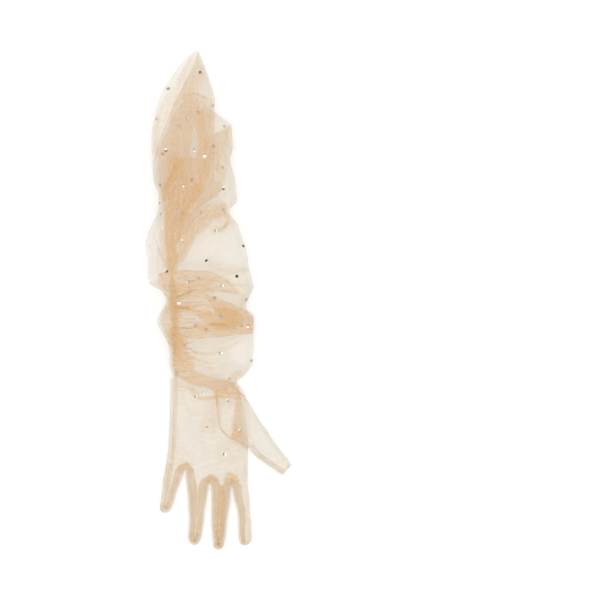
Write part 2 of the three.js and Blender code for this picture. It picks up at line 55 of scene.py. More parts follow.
MM = 0.001
ROOT = "root"
NET_COUNT = "net_count"  # how many thicknesses of net lie in view at a point of one layer
# The net's colour is painted: deeper and warmer where the net lies crowded, as painted shade of the net over
# it, and a painted light tone where it is thin, for the floor's light through it.
NET_PAINTED_SHADE = "net_tone"  # how deep the painted shade of the net's colour is there, from 0 to 1
FULL_PAINTED_SHADE_LAYERS = 3.6  # layers over the glove's own two that bring the full painted shade, the deepest colour
PAINTED_SHADE_CURVE = 0.7  # how early the painted shade deepens on the way there, under 1 for early
SEAM_PAINTED_SHADE = 0.95  # how deep the painted shade of the seams is
LEAST_NET = 0.1  # thicknesses of net left where the gathers part the most
MOST_PARTING = -1.2  # thicknesses that a parting may take from the sleeve's two layers
MOST_SLOPE_NET = 1.35  # how much denser the net may look where it stands steep
CROWDED_STREAKS = 0.22  # how uneven the crowded net is
FAINT_STREAKS = 0.05  # how uneven the net is everywhere
CREASE_FADE = 0.35  # share of a crease's length over which each end fades
PLEAT_FADE = 0.3  # share of a pleat's length over which each end fades
INNER_SIDE_FADE = 3.5  # width over which the inner layers thin out at the side
INNER_CROWN_FADE = 9  # and at their crown
SLEEVE_START = (-94, -85)  # stretch along Y where the hand's net gives way to the sleeve's
STREAKS_TURN = (30, 60)  # stretch along Y where the gathers turn from across the sleeve to along it
WALL_NODES = ("sleeve", "hand", "finger_little", "finger_ring", "finger_middle", "finger_index", "thumb")
HAND_NODES = WALL_NODES[1:6]
STONE_NODES = sorted(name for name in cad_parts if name.startswith("stone_"))
OVERHEAD = 100  # a height over the whole glove
SKIN = 0.35  # height of the lower layer over the surface
OVER_BACK_STONE = 1.9  # and over the stones that it lies on
RIM_SHARE = 0.3  # height of the side edges, as a share of the crest
SIDE_RISE = 9.0  # width over which the sleeve's lower layer rises to the side edges
SIDE_ROUND = 6  # width over which the sleeve's upper layer rises from them
HAND_ROUND = 5  # the same width on the hand and the thumb
HAND_CREST = 12.5  # height of the hand's crest
THUMB_CREST = 13
LEAST_UPPER = 2.5  # least height of the sleeve's upper layer
LEAST_INNER = 3.0  # and of the layers inside it
LEAST_STEP = 0.05  # points closer than this count as one
SHEET_PITCH = 1.7  # spacing of the corners in the hand and the thumb
SLEEVE_ROWS = 420  # corners along the sleeve, and across its two layers
UPPER_COLUMNS = 120
LOWER_COLUMNS = 84
SLEEVE_TIP = 284.6  # end of the sleeve along Y
WRIST_LEFT = -54.6
WRIST_WIDTH = 82
LOWER_PLEAT_REACH = 7  # how far in from its sides the lower layer is pleated
LOWER_PLEAT_LIFT = 0.8  # how high its pleats stand, as a share of the upper layer's depth
HEM_FREE = 7  # how far in from the side the mouth's hem stands fully free of it
SLACK_RISE = 0.5  # height of the slow waves of the upper layer
FINE_RISE = 0.25  # and of its finer ones
STREAK_INNER = 0.12  # how uneven the net of the inner layers is
INNER_ROWS = 240  # corners along the layers inside it, and across them
INNER_COLUMNS = 70
INNER_FOOT = 30  # where the layers inside the sleeve begin along Y
INNER_LEFT = -60
INNER_WIDTH = 56
INNER_HEM_GAP = 1.5  # how far they stay in from the mouth's hem
INNER_ROUND = 9  # width over which they rise from the side edges
# Each one's height as a share of the sleeve's, and how much of its pleats it takes.
INNER_LEVELS = ((0.72, 1.0), (0.34, 0.8))

Fold = namedtuple("Fold", "name points width pull depth back open_start open_end side")


def fold(name, *points, width, pull=3.0, depth=2.0, back=0.0, open_start=False, open_end=False, side=1):
    """A pleat along a bent line: the cloth within its width is pulled over itself into three layers."""
    return Fold(name, points, width, pull, depth, back, open_start, open_end, side)


# Pleats of the sleeve, from the wrist up. A pull over 1 overlaps the cloth, and 3 makes a band as wide as the
# pleat's width.
SLEEVE_FOLDS = (
    fold("cuff_roll", (-4, -101), (12, -102), (26, -105), width=6, pull=1.2, open_end=True, back=0.7),
    fold(
        "cuff_edge",
        (-55, -84), (-28, -81), (-15, -86), (0, -92), (24, -96),
        width=5, pull=1.2, open_start=True, open_end=True,
    ),
    fold("puff_low", (-32, -72), (-20, -79), (-8, -84), (8, -86), width=4, pull=1.15),
    fold("puff_third", (-34, -65), (-24, -73), (-13, -77), (2, -80), width=4, pull=1.15),
    fold("puff_middle", (-38, -58), (-28, -66), (-18, -70.5), (-8, -72), (2, -72), width=4, pull=1.25),
    fold("puff_high", (-40, -48), (-32, -56), (-22, -61), (-8, -61.5), (6, -59.5), width=4, pull=1.2),
    fold(
        "hem_edge",
        (-48, -42), (-20, -43), (0, -42), (20, -40), (42, -37.5),
        width=4.5, pull=1.25, open_end=True, back=0.5,
    ),
    fold("hem_line", (-54, -31.5), (-38, -32), (-26, -31), (-14, -28.5), width=4, pull=1.4),
    fold("wedge_line", (-16, -28.5), (-5, -27.5), (6, -28.5), (18, -31), width=5, pull=1.7),
    fold(
        "wedge_fold",
        (-5, -11), (8, -10.5), (22, -15), (39, -24),
        width=6, pull=1.3, open_end=True, back=0.6,
    ),
    fold(
        "wedge_edge",
        (-16, 6), (-2, 2), (12, -3), (24, -9), (34, -15), (41, -20),
        width=5, pull=1.15, open_end=True, back=0.5,
    ),
    fold("web_line", (-46, -19), (-34, -21.5), (-18, -22), width=3.6, pull=1.0),
    fold("tuck_under", (-40, -11), (-24, -13), (-6, -15), width=4, pull=1.4),
    fold("tuck_line", (-56, -8.3), (-50, -8.3), (-38, -8.8), (-26, -9), width=5, pull=1.7),
    fold("tuck_over", (-34, -8), (-20, -5.5), (-8, -6), (0, -9), width=3.6, pull=1.5),
    fold("heart_line", (-56, 1.5), (-49, 2.5), (-42, 5), (-32, 9), (-20, 12), width=4.5, pull=1.6),
    fold("arch_low", (-18, 10), (4, 10), (14, 9.5), (26, 7.5), width=4, pull=1.4),
    fold("arch_middle", (-24, 9), (-10, 13), (6, 16), (16, 17), width=3.6, pull=1.4),
    fold("arch_high", (-36, 22), (-18, 23), (-4, 22), (8, 20), width=3.6, pull=1.3),
    fold(
        "arch",
        (-62, 32), (-38, 33), (-15, 32.5), (-3, 29.5), (8, 24), (17, 15), (25, 7),
        width=4.5, pull=1.2,
    ),
    fold("left_line", (-74, 79), (-70, 66), (-66, 52), (-59, 37), width=3.2, pull=1.4),
    fold("hook", (-7, 78.5), (1, 79.5), (7, 83), (11, 89), (12, 96), width=3.6, pull=1.6),
    fold("sash_low", (4, 110), (-14, 102), (-27, 92), (-36, 77), (-46, 60), width=4.5, pull=1.5, back=0.3),
    fold("sash_high", (10, 125), (-8, 115), (-22, 106), (-34, 95), width=4, pull=1.4),
    fold(
        "column_crease",
        (-47, 172), (-49, 158), (-51, 146), (-57, 135), (-61, 125), (-63, 112),
        width=5, pull=1.4, side=-1,
    ),
    fold("shoulder", (-5, 191), (3, 194.5), (8, 197.5), (16, 200), width=4, pull=1.2, open_end=True),
    fold("mouth_crease", (-71, 216), (-62, 214), (-50, 221), width=2.6, pull=1.5),
)

# Pleats of the layers that are drawn up inside the sleeve.
INNER_FOLDS = (
    fold("crown", (-42, 225), (-36, 229.5), (-30, 233), (-24, 232), (-17, 227), width=4, pull=1.3),
    fold("parting", (-26, 206), (-24, 190), (-23, 176), (-24, 162), width=4, pull=1.4),
    fold("left_rib", (-48, 205), (-50, 180), (-50, 155), (-57, 130), width=6, pull=1.15),
    fold("right_rib", (-17, 214), (-16, 190), (-13, 160), (-20, 132), width=6, pull=1.2),
    fold("low_rib", (-26, 130), (-36, 104), (-44, 78), (-50, 50), width=6, pull=1.2),
)

# Areas where the net is crowded into gathers too fine to model one by one, and fine lines of it. Each row
# gives the thicknesses that the gathers add to both layers together, and a parting in them takes some away.
Patch = namedtuple("Patch", "name points soft count")
Crease = namedtuple("Crease", "name points width count fade_start fade_end")


def patch(name, *points, soft=2.0, count=1.0):
    """An area of crowded net: its outline, how softly it ends, and the thicknesses of net that it adds."""
    return Patch(name, points, soft, count)


def crease(name, *points, width=1.0, count=1.0, fade_start=True, fade_end=True):
    """A fine line of crowded net along a path."""
    return Crease(name, points, width, count, fade_start, fade_end)


def crease_on(name, **looks):
    """A fine line of crowded net along one of the sleeve's pleats."""
    points = next(f.points for f in SLEEVE_FOLDS if f.name == name)
    return crease(name, *points, **looks)


PATCHES = (
    patch(
        "peak_shade",
        (-24, 280), (-29, 268), (-35, 256), (-44, 241), (-55, 214), (-38, 226), (-30, 239), (-22, 240),
        (-16, 256),
        soft=3, count=1.25,
    ),
    patch(
        "peak_edge",
        (-31, 283), (-36, 273), (-42, 263), (-47, 251), (-43, 250), (-36, 263), (-30, 275),
        soft=1.5, count=0.8,
    ),
    patch(
        "mouth_strip",
        (-28, 282), (-78, 200), (-80, 165), (-70, 165), (-58, 205), (-33, 262),
        soft=4, count=1.5,
    ),
    patch(
        "crown_shade",
        (-44, 226), (-36, 233), (-30, 238), (-22, 236), (-24, 222), (-36, 212), (-46, 214),
        soft=4, count=0.4,
    ),
    patch(
        "crown_right",
        (-20, 234), (-6, 228), (-4, 218), (-5, 203), (-11, 205), (-15, 216),
        soft=2.5, count=0.8,
    ),
    patch("crown_left", (-58, 212), (-50, 216), (-50, 204), (-56, 202), soft=2.5, count=0.7),
    patch("triangle", (-3, 214), (16, 202), (16, 199), (4, 194), (-4, 191), soft=1.2, count=-0.6),
    patch(
        "shoulder",
        (-4, 191), (4, 193), (13, 199), (11, 186), (7, 172), (4, 158), (2, 147), (-4, 149), (-6, 160),
        soft=2.2, count=1.7,
    ),
    patch(
        "shoulder_rim",
        (-4, 190), (16, 199), (18, 190), (17, 170), (13, 156), (6, 140), (-4, 150),
        soft=1.6, count=0.5,
    ),
    patch("shoulder_foot", (-4, 151), (6, 153), (9, 145), (7, 134), (0, 133), soft=2, count=1.3),
    patch(
        "inner_left",
        (-50, 208), (-34, 208), (-32, 176), (-36, 150), (-58, 148), (-55, 180),
        soft=5, count=0.8,
    ),
    patch("upper_core", (-34, 217), (-16, 217), (-13, 196), (-22, 190), (-34, 192), soft=3, count=0.9),
    patch(
        "column_middle",
        (-56, 162), (-58, 142), (-63, 125), (-63, 110), (-60, 103), (-34, 103), (-23, 110), (-17, 120),
        (-15, 133), (-11, 145), (-10, 158), (-30, 163),
        soft=3, count=1.1,
    ),
    patch(
        "column_low",
        (-62, 104), (-62, 80), (-60.5, 60), (-59, 34), (-49, 36), (-46, 48), (-49, 60), (-44, 70),
        (-40, 80), (-36, 90), (-31, 100),
        soft=1.8, count=1.5,
    ),
    patch("column_edge", (-38, 116), (-33, 116), (-31, 104), (-36, 96), (-40, 98), soft=2, count=0.8),
    patch(
        "column_side",
        (-44, 58), (-38, 70), (-31, 82), (-25, 92), (-14, 104), (0, 116), (-6, 120), (-20, 112), (-32, 98),
        (-40, 82), (-48, 64),
        soft=2, count=0.6,
    ),
    patch(
        "knot_shade",
        (-66, 122), (-58, 126), (-52, 120), (-50, 108), (-54, 99), (-61, 99), (-63, 110),
        soft=2.5, count=1.1,
    ),
    patch(
        "core_right",
        (-35, 117), (-32, 126), (-26, 132), (-20, 133), (-18, 129), (-21, 121), (-28, 112),
        soft=2.2, count=2.7,
    ),
    patch("core_pale", (-46, 134), (-41, 134), (-39, 127), (-46, 126), soft=1.8, count=-1.0),
    patch(
        "crease_core",
        (-61, 129), (-57, 131), (-52, 138), (-49, 144), (-53, 142), (-58, 136),
        soft=1.5, count=1.5,
    ),
    patch(
        "dark_left",
        (-54, 166), (-47, 168), (-40, 156), (-36, 134), (-46, 118), (-60, 118), (-62, 132), (-57, 146),
        soft=3.4, count=1.7,
    ),
    patch(
        "dark_right",
        (-26, 220), (-17, 218), (-14, 195), (-7, 182), (-8, 160), (-12, 140), (-22, 136), (-23, 160),
        (-21, 182), (-24, 200),
        soft=3.0, count=1.4,
    ),
    patch(
        "dark_low",
        (-36, 133), (-19, 133), (-22, 118), (-34, 103), (-40, 90), (-45, 76), (-57, 76), (-59, 100),
        (-46, 116),
        soft=3.2, count=1.35,
    ),
    patch(
        "teardrop",
        (-27, 200), (-30, 190), (-30, 178), (-33, 170), (-30, 164), (-26, 167), (-23, 176), (-23, 183),
        (-25, 191),
        soft=1.5, count=-3.2,
    ),
    patch(
        "low_right",
        (-18, 134), (2, 131), (-2, 122), (-12, 117), (-24, 108), (-30, 103), (-24, 118),
        soft=2.6, count=0.5,
    ),
    patch(
        "column_foot",
        (-59, 74), (-50, 72), (-49, 56), (-50, 40), (-57, 34), (-59, 50),
        soft=1.8, count=2.4,
    ),
    patch("column_gap", (-50, 48), (-43, 48), (-45, 39), (-50, 39), soft=1.5, count=-1.2),
    patch("seam_side", (-53, -62), (-48, -63), (-47, -74), (-53, -76), soft=1.5, count=0.9),
    patch(
        "sash",
        (-36, 80), (-24, 101), (-12, 111), (0, 114), (8, 113), (10, 108), (-2, 108), (-14, 102), (-27, 91),
        (-35, 79),
        soft=1.8, count=0.8,
    ),
    patch(
        "sash_tail",
        (-48, 58), (-42, 70), (-36, 80), (-33, 79), (-38, 68), (-45, 57),
        soft=1.2, count=0.7,
    ),
    patch(
        "sash_shade",
        (-48, 52), (-43, 60), (-37, 72), (-31, 83), (-25, 91), (-15, 100), (-6, 106), (4, 110), (10, 107),
        (9, 99), (-4, 93), (-12, 84), (-18, 79), (-26, 73), (-32, 61), (-38, 49), (-46, 40), (-50, 43),
        soft=3.2, count=3.0,
    ),
    patch("hook_web", (-3, 98), (5, 99), (13, 99), (13, 90), (5, 88), (-3, 92), soft=1.8, count=1.1),
    patch("hook_foot", (-10, 84), (-2, 86), (5, 81), (0, 76), (-9, 77), soft=2, count=0.4),
    patch(
        "left_web",
        (-66, 78), (-61, 78), (-57, 50), (-56, 34), (-60, 34), (-65, 50), (-67, 64),
        soft=2.5, count=0.9,
    ),
    patch(
        "left_web_edge",
        (-70, 60), (-66, 58), (-68, 40), (-65, 30), (-65, 18), (-69, 18), (-71, 30),
        soft=1.5, count=0.8,
    ),
    patch(
        "arch",
        (-66, 30), (-58, 34), (-40, 33.5), (-15, 33), (-3, 30), (8, 25), (17, 16), (25, 7), (10, 8),
        (-5, 11), (-22, 11), (-50, 8), (-62, 13),
        soft=0.8, count=2.2,
    ),
    patch("arch_window", (-8, 18), (3, 19.5), (13, 17), (20, 11), (6, 12), (-6, 14), soft=1.4, count=-1.0),
    patch(
        "heart",
        (-55, 17), (-42, 17), (-34, 13), (-36, 8), (-44, 3), (-55, 1), (-57, 7),
        soft=2.4, count=1.2,
    ),
    patch(
        "heart_band",
        (-44, 4), (-35, 8.5), (-22, 12.5), (-8, 13), (-4, 9), (-20, 6.5), (-36, 2), (-46, 0),
        soft=1.2, count=1.7,
    ),
    patch("heart_foot", (-53, 5), (-43, 5), (-42, 1.2), (-52, 0.5), soft=1.2, count=1.7),
    patch("arch_core", (-26, 18), (-8, 25), (2, 22), (-4, 16), (-20, 13), soft=2, count=0.5),
    patch(
        "waist_web",
        (-54, 2), (-30, 8), (-14, 8), (-4, 2), (-8, -12), (-5, -24), (-14, -31), (-52, -31),
        soft=2.0, count=1.2,
    ),
    patch(
        "tuck",
        (-56, -1), (-48, -1), (-38, -3), (-27, -6), (-24, -9), (-32, -12), (-45, -12), (-55, -14),
        soft=1.8, count=1.8,
    ),
    patch("tuck_foot", (-49, -11), (-42, -11), (-43, -25), (-48, -25), soft=1.6, count=1.4),
    patch(
        "tuck_low",
        (-46, -10), (-22, -11), (-8, -12), (-12, -16.5), (-30, -16), (-46, -14),
        soft=1.5, count=1.2,
    ),
    patch("waist_rim", (-60, 6), (-50, 6), (-50, -3), (-58, -3), soft=1.6, count=0.9),
    patch(
        "wedge",
        (-14, 6), (-4, 2.5), (8, -1.5), (20, -6.5), (31, -12), (40, -19), (43, -24), (43, -34), (12, -34),
        (-8, -30), (-20, -22), (-24, -16), (-12, -14), (-4, -12), (-8, -5),
        soft=1.2, count=3.0,
    ),
    patch(
        "wedge_core",
        (-6, -9), (6, -8), (18, -12), (27, -19), (28, -27), (16, -33), (-2, -33), (6, -26), (0, -17),
        soft=3.0, count=3.8,
    ),
    patch(
        "wedge_foot",
        (-26, -28.5), (-10, -28), (2, -28.5), (12, -30), (16, -35), (0, -35.5), (-22, -34),
        soft=1.4, count=3.0,
    ),
    patch("wedge_shade", (4, -21), (16, -20), (28, -19), (28, -25), (12, -26), soft=1.5, count=0.9),
    patch("wedge_rim_pale", (30, -6), (40, -14), (44, -20.5), (37, -20), (30, -12), soft=1.5, count=-0.8),
    patch(
        "wedge_side",
        (26, -12), (36, -16), (38, -24), (34, -31), (24, -31), (26, -22),
        soft=2, count=-0.8,
    ),
    patch("arch_shade", (-50, 17), (-30, 18), (-6, 26), (-4, 22), (-28, 12), (-48, 11), soft=2, count=0.5),
    patch(
        "peak_core",
        (-40, 250), (-33, 253), (-27, 241), (-24, 233), (-36, 230), (-43, 232),
        soft=2.5, count=0.8,
    ),
    patch("sash_end", (6, 108), (14, 107), (15, 98), (8, 100), soft=1.5, count=-0.8),
    patch("sash_foot", (-16, 90), (-2, 97), (0, 95), (-6, 91), (-15, 86), soft=1.5, count=-0.9),
    patch("sash_top", (-24, 108), (-10, 115), (-4, 117), (-8, 110), (-20, 106), soft=2, count=-0.7),
    patch("seam_spot", (-54, -31), (-46, -31), (-46, -36), (-54, -36), soft=1.2, count=1.6),
    patch("seam_gap", (-56, -37.5), (-47, -38), (-47, -42.5), (-56, -42), soft=1.2, count=-1.3),
    patch("seam_gap_high", (-56, -17), (-51, -17), (-51, -26), (-56, -26), soft=1.5, count=-1.2),
    patch("waist_gap", (-58, 10), (-53, 10), (-53, 4), (-58, 4), soft=1.5, count=-1.0),
    patch(
        "web_pale",
        (-40, -18), (-20, -19), (-10, -24), (-14, -26), (-30, -23), (-42, -23),
        soft=2, count=-0.9,
    ),
    patch(
        "hem_band",
        (-55, -32), (-30, -33), (-10, -33), (12, -36), (43, -34), (43, -37), (20, -40), (0, -42),
        (-20, -43), (-54, -43),
        soft=1.3, count=2.4,
    ),
    patch(
        "left_bulge",
        (-56, -2), (-64, -15), (-65, -26), (-59, -37), (-54, -44), (-50, -30), (-50, -2),
        soft=2.6, count=1.4,
    ),
    patch(
        "left_knot",
        (-69, 30), (-60, 31), (-52, 30), (-52, 6), (-58, 0), (-63, 10), (-68, 18),
        soft=1.6, count=0.7,
    ),
    patch(
        "seam_fan",
        (-52, -44), (-41, -42), (-38, -50), (-34, -60), (-30, -68), (-27, -76), (-32, -80), (-50, -80),
        (-52, -60),
        soft=2.4, count=2.8,
    ),
    patch(
        "seam_fan_core",
        (-50, -46), (-44, -46), (-38, -62), (-33, -75), (-38, -78), (-46, -70), (-50, -58),
        soft=2, count=0.9,
    ),
    patch(
        "seam_knot",
        (-60, -36), (-52, -36), (-42, -40), (-35, -45), (-37, -54), (-46, -58), (-54, -54), (-58, -44),
        soft=2, count=1.8,
    ),
    patch(
        "seam_core",
        (-54, 6), (-47, 6), (-45, -10), (-45, -30), (-41, -44), (-42, -54), (-47, -60), (-54, -54),
        soft=2.0, count=1.4,
    ),
    patch(
        "puff_shade",
        (-40, -54), (-22, -62), (8, -66), (14, -88), (-10, -90), (-30, -80),
        soft=6, count=0.2,
    ),
    patch("puff_top", (-38, -42), (20, -42), (4, -54), (-20, -59), (-34, -52), soft=4, count=0.2),
    patch(
        "cuff",
        (-50, -81), (-40, -79.5), (-30, -80.5), (-20, -83.5), (-10, -87.5), (0, -90.5), (14, -93),
        (22, -96), (29, -103), (30, -111), (16, -112), (-2, -112), (-6, -103.5), (-14, -99.8), (-24, -98.6),
        (-33, -95.8), (-42, -90.3), (-50, -86),
        soft=1.8, count=2.9,
    ),
    patch(
        "cuff_hollow",
        (11, -100), (21, -100.5), (25, -104.5), (20, -105), (12, -103.5),
        soft=1.2, count=-1.4,
    ),
    patch("cuff_left", (-50, -90), (-42, -92), (-34, -99), (-36, -104), (-50, -104), soft=2, count=0.7),
    patch(
        "cuff_corner",
        (-35, -98), (-27, -100), (-21, -105), (-22, -111.5), (-29, -110),
        soft=1.8, count=1.8,
    ),
    patch("waist_pinch", (14, -84), (24, -80), (29, -84), (26, -91), (20, -93), soft=2, count=0.9),
    patch(
        "pocket",
        (-26, -99.5), (-14, -102.5), (-7, -105), (-8, -106), (-18, -106), (-27, -104.5),
        soft=1.5, count=-1.0,
    ),
    patch(
        "cuff_roll",
        (2, -96), (14, -95.5), (22, -98), (24, -105), (14, -107), (4, -105),
        soft=1.8, count=0.3,
    ),
    patch(
        "thumb_overlap",
        (19, -112), (26, -112), (27, -126), (28, -142), (32, -156), (35, -171), (26, -167), (14, -160),
        (16, -150), (15, -140), (18, -128),
        soft=1.5, count=1.2,
    ),
    patch("web_corner", (15, -157), (17, -150), (23, -147), (26, -157), (21, -159.5), soft=1.5, count=1.4),
    patch("thumb_web", (2, -110), (20, -110), (18, -120), (10, -123), (4, -118), soft=2.5, count=0.6),
    patch(
        "palm_shade",
        (-3, -112), (-14, -112), (-13, -120), (-20, -149), (-8, -152), (0, -146), (-2, -126),
        soft=2.5, count=0.7,
    ),
    patch("knuckle_shade", (0, -156), (28, -160), (28, -180), (0, -196), soft=8, count=0.35),
    patch(
        "middle_finger",
        (1.5, -212), (6.5, -213), (8, -228), (7, -246), (4, -272), (-2, -272), (-1, -240),
        soft=1.5, count=2.8,
    ),
    patch("middle_low", (-3, -258), (6, -258), (5, -278), (-3, -280), soft=1.5, count=0.4),
    patch("middle_tip", (-5, -278.5), (5, -278.5), (4, -285), (-4, -285), soft=0.8, count=1.6),
    patch("ring_tip", (-32, -267), (-25, -266), (-23, -274), (-28, -278), (-32, -275), soft=1.4, count=1.2),
    patch("index_tip", (26, -277), (36, -276), (34, -280.5), (27, -281), soft=0.9, count=1.2),
    patch("index_shade", (25, -250), (37, -250), (38, -276), (26, -278), soft=1.5, count=0.35),
    patch("thumb_pale", (37, -123), (79, -187), (72, -195), (42, -162), (35, -142), soft=3, count=-0.25),
    patch("web_side", (15.5, -158), (17, -142), (20, -142), (21, -157), soft=1, count=1.2),
    patch("web_pale_end", (36, -166), (46, -174), (44, -177), (36, -170), soft=1, count=-0.8),
    patch(
        "little_tip",
        (-67, -233), (-61, -235), (-60, -243), (-65, -243), (-68, -238),
        soft=1.5, count=1.2,
    ),
    patch(
        "little_outer",
        (-57, -186), (-52, -190), (-54, -205), (-57, -220), (-60, -236), (-65, -240), (-65, -228),
        (-63, -210), (-60, -195),
        soft=1.6, count=1.2,
    ),
    patch(
        "root_little",
        (-47, -194), (-42, -187), (-37, -184.5), (-32, -187), (-28, -195), (-31, -199), (-35, -192),
        (-38, -191), (-42, -196), (-46, -199),
        soft=1.5, count=1.9,
    ),
    patch(
        "root_ring",
        (-14, -207), (-11, -201), (-8, -199), (-4, -200), (1, -206), (-3, -208), (-8, -206), (-11, -208),
        soft=1.2, count=2.6,
    ),
    patch(
        "root_middle",
        (7, -210), (9, -199.5), (13, -197.5), (17, -199), (22, -202.5), (24, -208), (16, -209.5),
        soft=1.2, count=3.4,
    ),
    patch("wall_shade", (36, 24), (20, 6), (36, -6), (40, 10), soft=5, count=0.6),
    patch("tuck_line_shade", (-12, 44), (8, 38), (36, 36), (20, 28), (-8, 33), soft=4, count=0.7),
    patch(
        "puff_pale",
        (-34, 60), (-14, 72), (10, 78), (22, 90), (34, 62), (40, 38), (12, 40), (-12, 48), (-40, 42),
        soft=7, count=-0.5,
    ),
    patch("low_puff_pale", (10, -50), (40, -38), (42, -66), (30, -76), (16, -68), soft=6, count=-0.7),
    patch("left_puff_pale", (-86, 58), (-72, 96), (-66, 60), (-68, 24), (-84, 24), soft=4, count=-0.9),
    patch("right_pale", (12, 150), (24, 130), (26, 106), (10, 110), (0, 117), (5, 130), soft=3, count=-0.2),
    patch("left_rim_pale", (-72, -14), (-62, -4), (-62, -34), (-70, -34), soft=3, count=-0.5),
    patch("wall_pale", (10, 30), (38, 30), (42, 12), (34, -6), (26, 6), soft=4, count=-0.3),
)

CREASES = (
    crease(
        "crown",
        (-45, 226), (-37, 232.8), (-30, 236), (-24, 235.5), (-14, 231), (-5, 226.5),
        width=1.7, count=2.8,
    ),
    crease(
        "dark_crease",
        (-47, 168), (-48, 156), (-50, 145), (-55.5, 134), (-60.5, 124), (-63, 112),
        width=2.6, count=4.2,
    ),
    crease("crease_light", (-40, 154), (-45, 142), (-52, 131), (-58, 119), width=0.9, count=-2.0),
    crease_on("shoulder", width=0.9, count=0.4, fade_end=False),
    crease("shoulder_side", (16, 182), (16.5, 170), (15, 160), (14, 150), width=1.3, count=1.1),
    crease_on("mouth_crease", width=0.7, count=0.5),
    crease("sash_line", (-48, 58), (-38, 75), (-31, 86.5), (-24, 94.5), (-12, 104), width=0.8, count=1.0),
    crease("sash_line_two", (-30, 96), (-20, 103), (-8, 110), width=0.8, count=0.9),
    crease("sash_line_three", (-24, 101), (-12, 108), (2, 112), width=0.7, count=0.7),
    crease_on("hook", width=1.9, count=3.2),
    crease_on("left_line", width=0.8, count=0.8),
    crease(
        "arch_edge",
        (-58, 33), (-38, 33), (-15, 32.5), (-3, 29.5), (8, 24), (17, 15), (25, 7),
        width=0.7, count=0.5,
    ),
    crease("arch_tail", (6, 25), (17, 16), (24, 8), width=1.6, count=1.3),
    crease("wall_line", (14, 17.5), (24, 17.5), (34, 16), width=1.5, count=1.3),
    crease("arch_fall", (-18, 10), (-13, 3), (-7, -4), width=2, count=1.2),
    crease_on("arch_high", width=0.9, count=1.3),
    crease("arch_line_two", (-40, 14), (-20, 17.5), (-5, 19), width=1.4, count=1.2),
    crease_on("arch_middle", width=0.9, count=1.2),
    crease_on("arch_low", width=0.9, count=1.2),
    crease("heart_line", (-57, 1.5), (-49, 2.5), (-42, 5), (-32, 9), (-22, 11.5), width=1.6, count=1.6),
    crease("web_line", (-42, -3), (-25, -3), (-10, 2), width=0.9, count=0.7),
    crease("web_line_two", (-34, 2), (-22, 4), (-10, 6), width=0.8, count=0.6),
    crease("tuck_line", (-60, -8.3), (-50, -8.3), (-38, -8.8), (-26, -9), width=1.5, count=3.0),
    crease("tuck_line_two", (-34, -7.5), (-20, -6.5), (-8, -7), (0, -9.5), width=1.3, count=2.0),
    crease_on("tuck_under", width=1.0, count=1.2),
    crease("web_line_four", (-44, -26), (-30, -25.5), (-16, -26), width=0.8, count=0.8),
    crease("web_line_five", (-58, -20), (-50, -21), (-42, -19), width=0.8, count=1.0),
    crease("wedge_line", (-14, -28.5), (-5, -27.5), (6, -28.5), (16, -31), width=1.5, count=4.6),
    crease_on("hem_line", width=0.9, count=1.8),
    crease(
        "hem_line_two",
        (-8, -35), (10, -37), (30, -38), (43, -37),
        width=0.9, count=0.5, fade_end=False,
    ),
    crease("wedge_rim", (41, -20), (42, -28), (41.5, -35), width=1.4, count=1.0),
    crease("wedge_hem", (10, -35.5), (22, -36), (35, -36), width=1.6, count=1.1),
    crease("waist_fold", (-25, 11), (-14, 9.8), (-3, 9.5), width=1.8, count=1.2),
    crease(
        "puff_line",
        (-40, -48), (-32, -56), (-22, -61), (-8, -61.5), (6, -59.5), (14, -57),
        width=1.7, count=1.8,
    ),
    crease("puff_rise", (-12, -60), (4, -57.5), (18, -51), (32, -42), width=2.2, count=0.9),
    crease_on("puff_middle", width=1.6, count=1.3),
    crease_on("puff_third", width=1.6, count=1.1),
    crease_on("puff_low", width=1.6, count=0.3),
    crease("pocket_light", (-48, -85), (-38, -82), (-28, -79.5), width=1.6, count=-0.6),
    crease(
        "cuff_line",
        (-30, -110.5), (-20, -112.5), (-11, -112.5), (-2, -110.5),
        width=1.7, count=3.4, fade_end=False,
    ),
    crease("thumb_set_top", (-1.4, -108), (-1.4, -113), (-0.4, -122), width=1.8, count=3.2),
    crease("thumb_set_side", (0.5, -108), (1.6, -128), (3.4, -146), width=1.6, count=1.0),
    crease("roll_line", (4, -101), (14, -98), (24, -100), width=1.2, count=0.8),
    crease("roll_line_two", (6, -106), (16, -102), (27, -104), width=1.0, count=0.6),
    crease("palm_line", (-44, -101), (-39, -114), (-33, -127), (-28, -138), width=0.8, count=0.7),
    crease("palm_line_two", (-42, -160), (-38, -172), (-33, -184), width=0.8, count=0.6),
    crease("palm_line_three", (-34, -128), (-24, -131), (-14, -128), width=0.8, count=0.3),
    crease(
        "thumb_edge_line",
        (27, -103), (30.5, -112), (34.5, -121),
        width=1.6, count=1.4, fade_start=False,
    ),
    crease("side_line", (-50, 8), (-50, -10), (-49, -30), (-48, -50), (-48, -66), width=2.2, count=1.0),
    crease(
        "seam_edge_pale",
        (-55, -44), (-55, -60), (-54.5, -75), (-53.5, -96),
        width=2.2, count=-0.8, fade_end=False,
    ),
    crease(
        "hand_side_line",
        (-50.5, -112), (-50.8, -130), (-51.3, -160), (-52.5, -190), (-56, -206),
        width=1.1, count=2.0,
    ),
)

def rows_of(kind, *rows):
    """Names the fields of given rows."""
    return tuple(kind(*row) for row in rows)


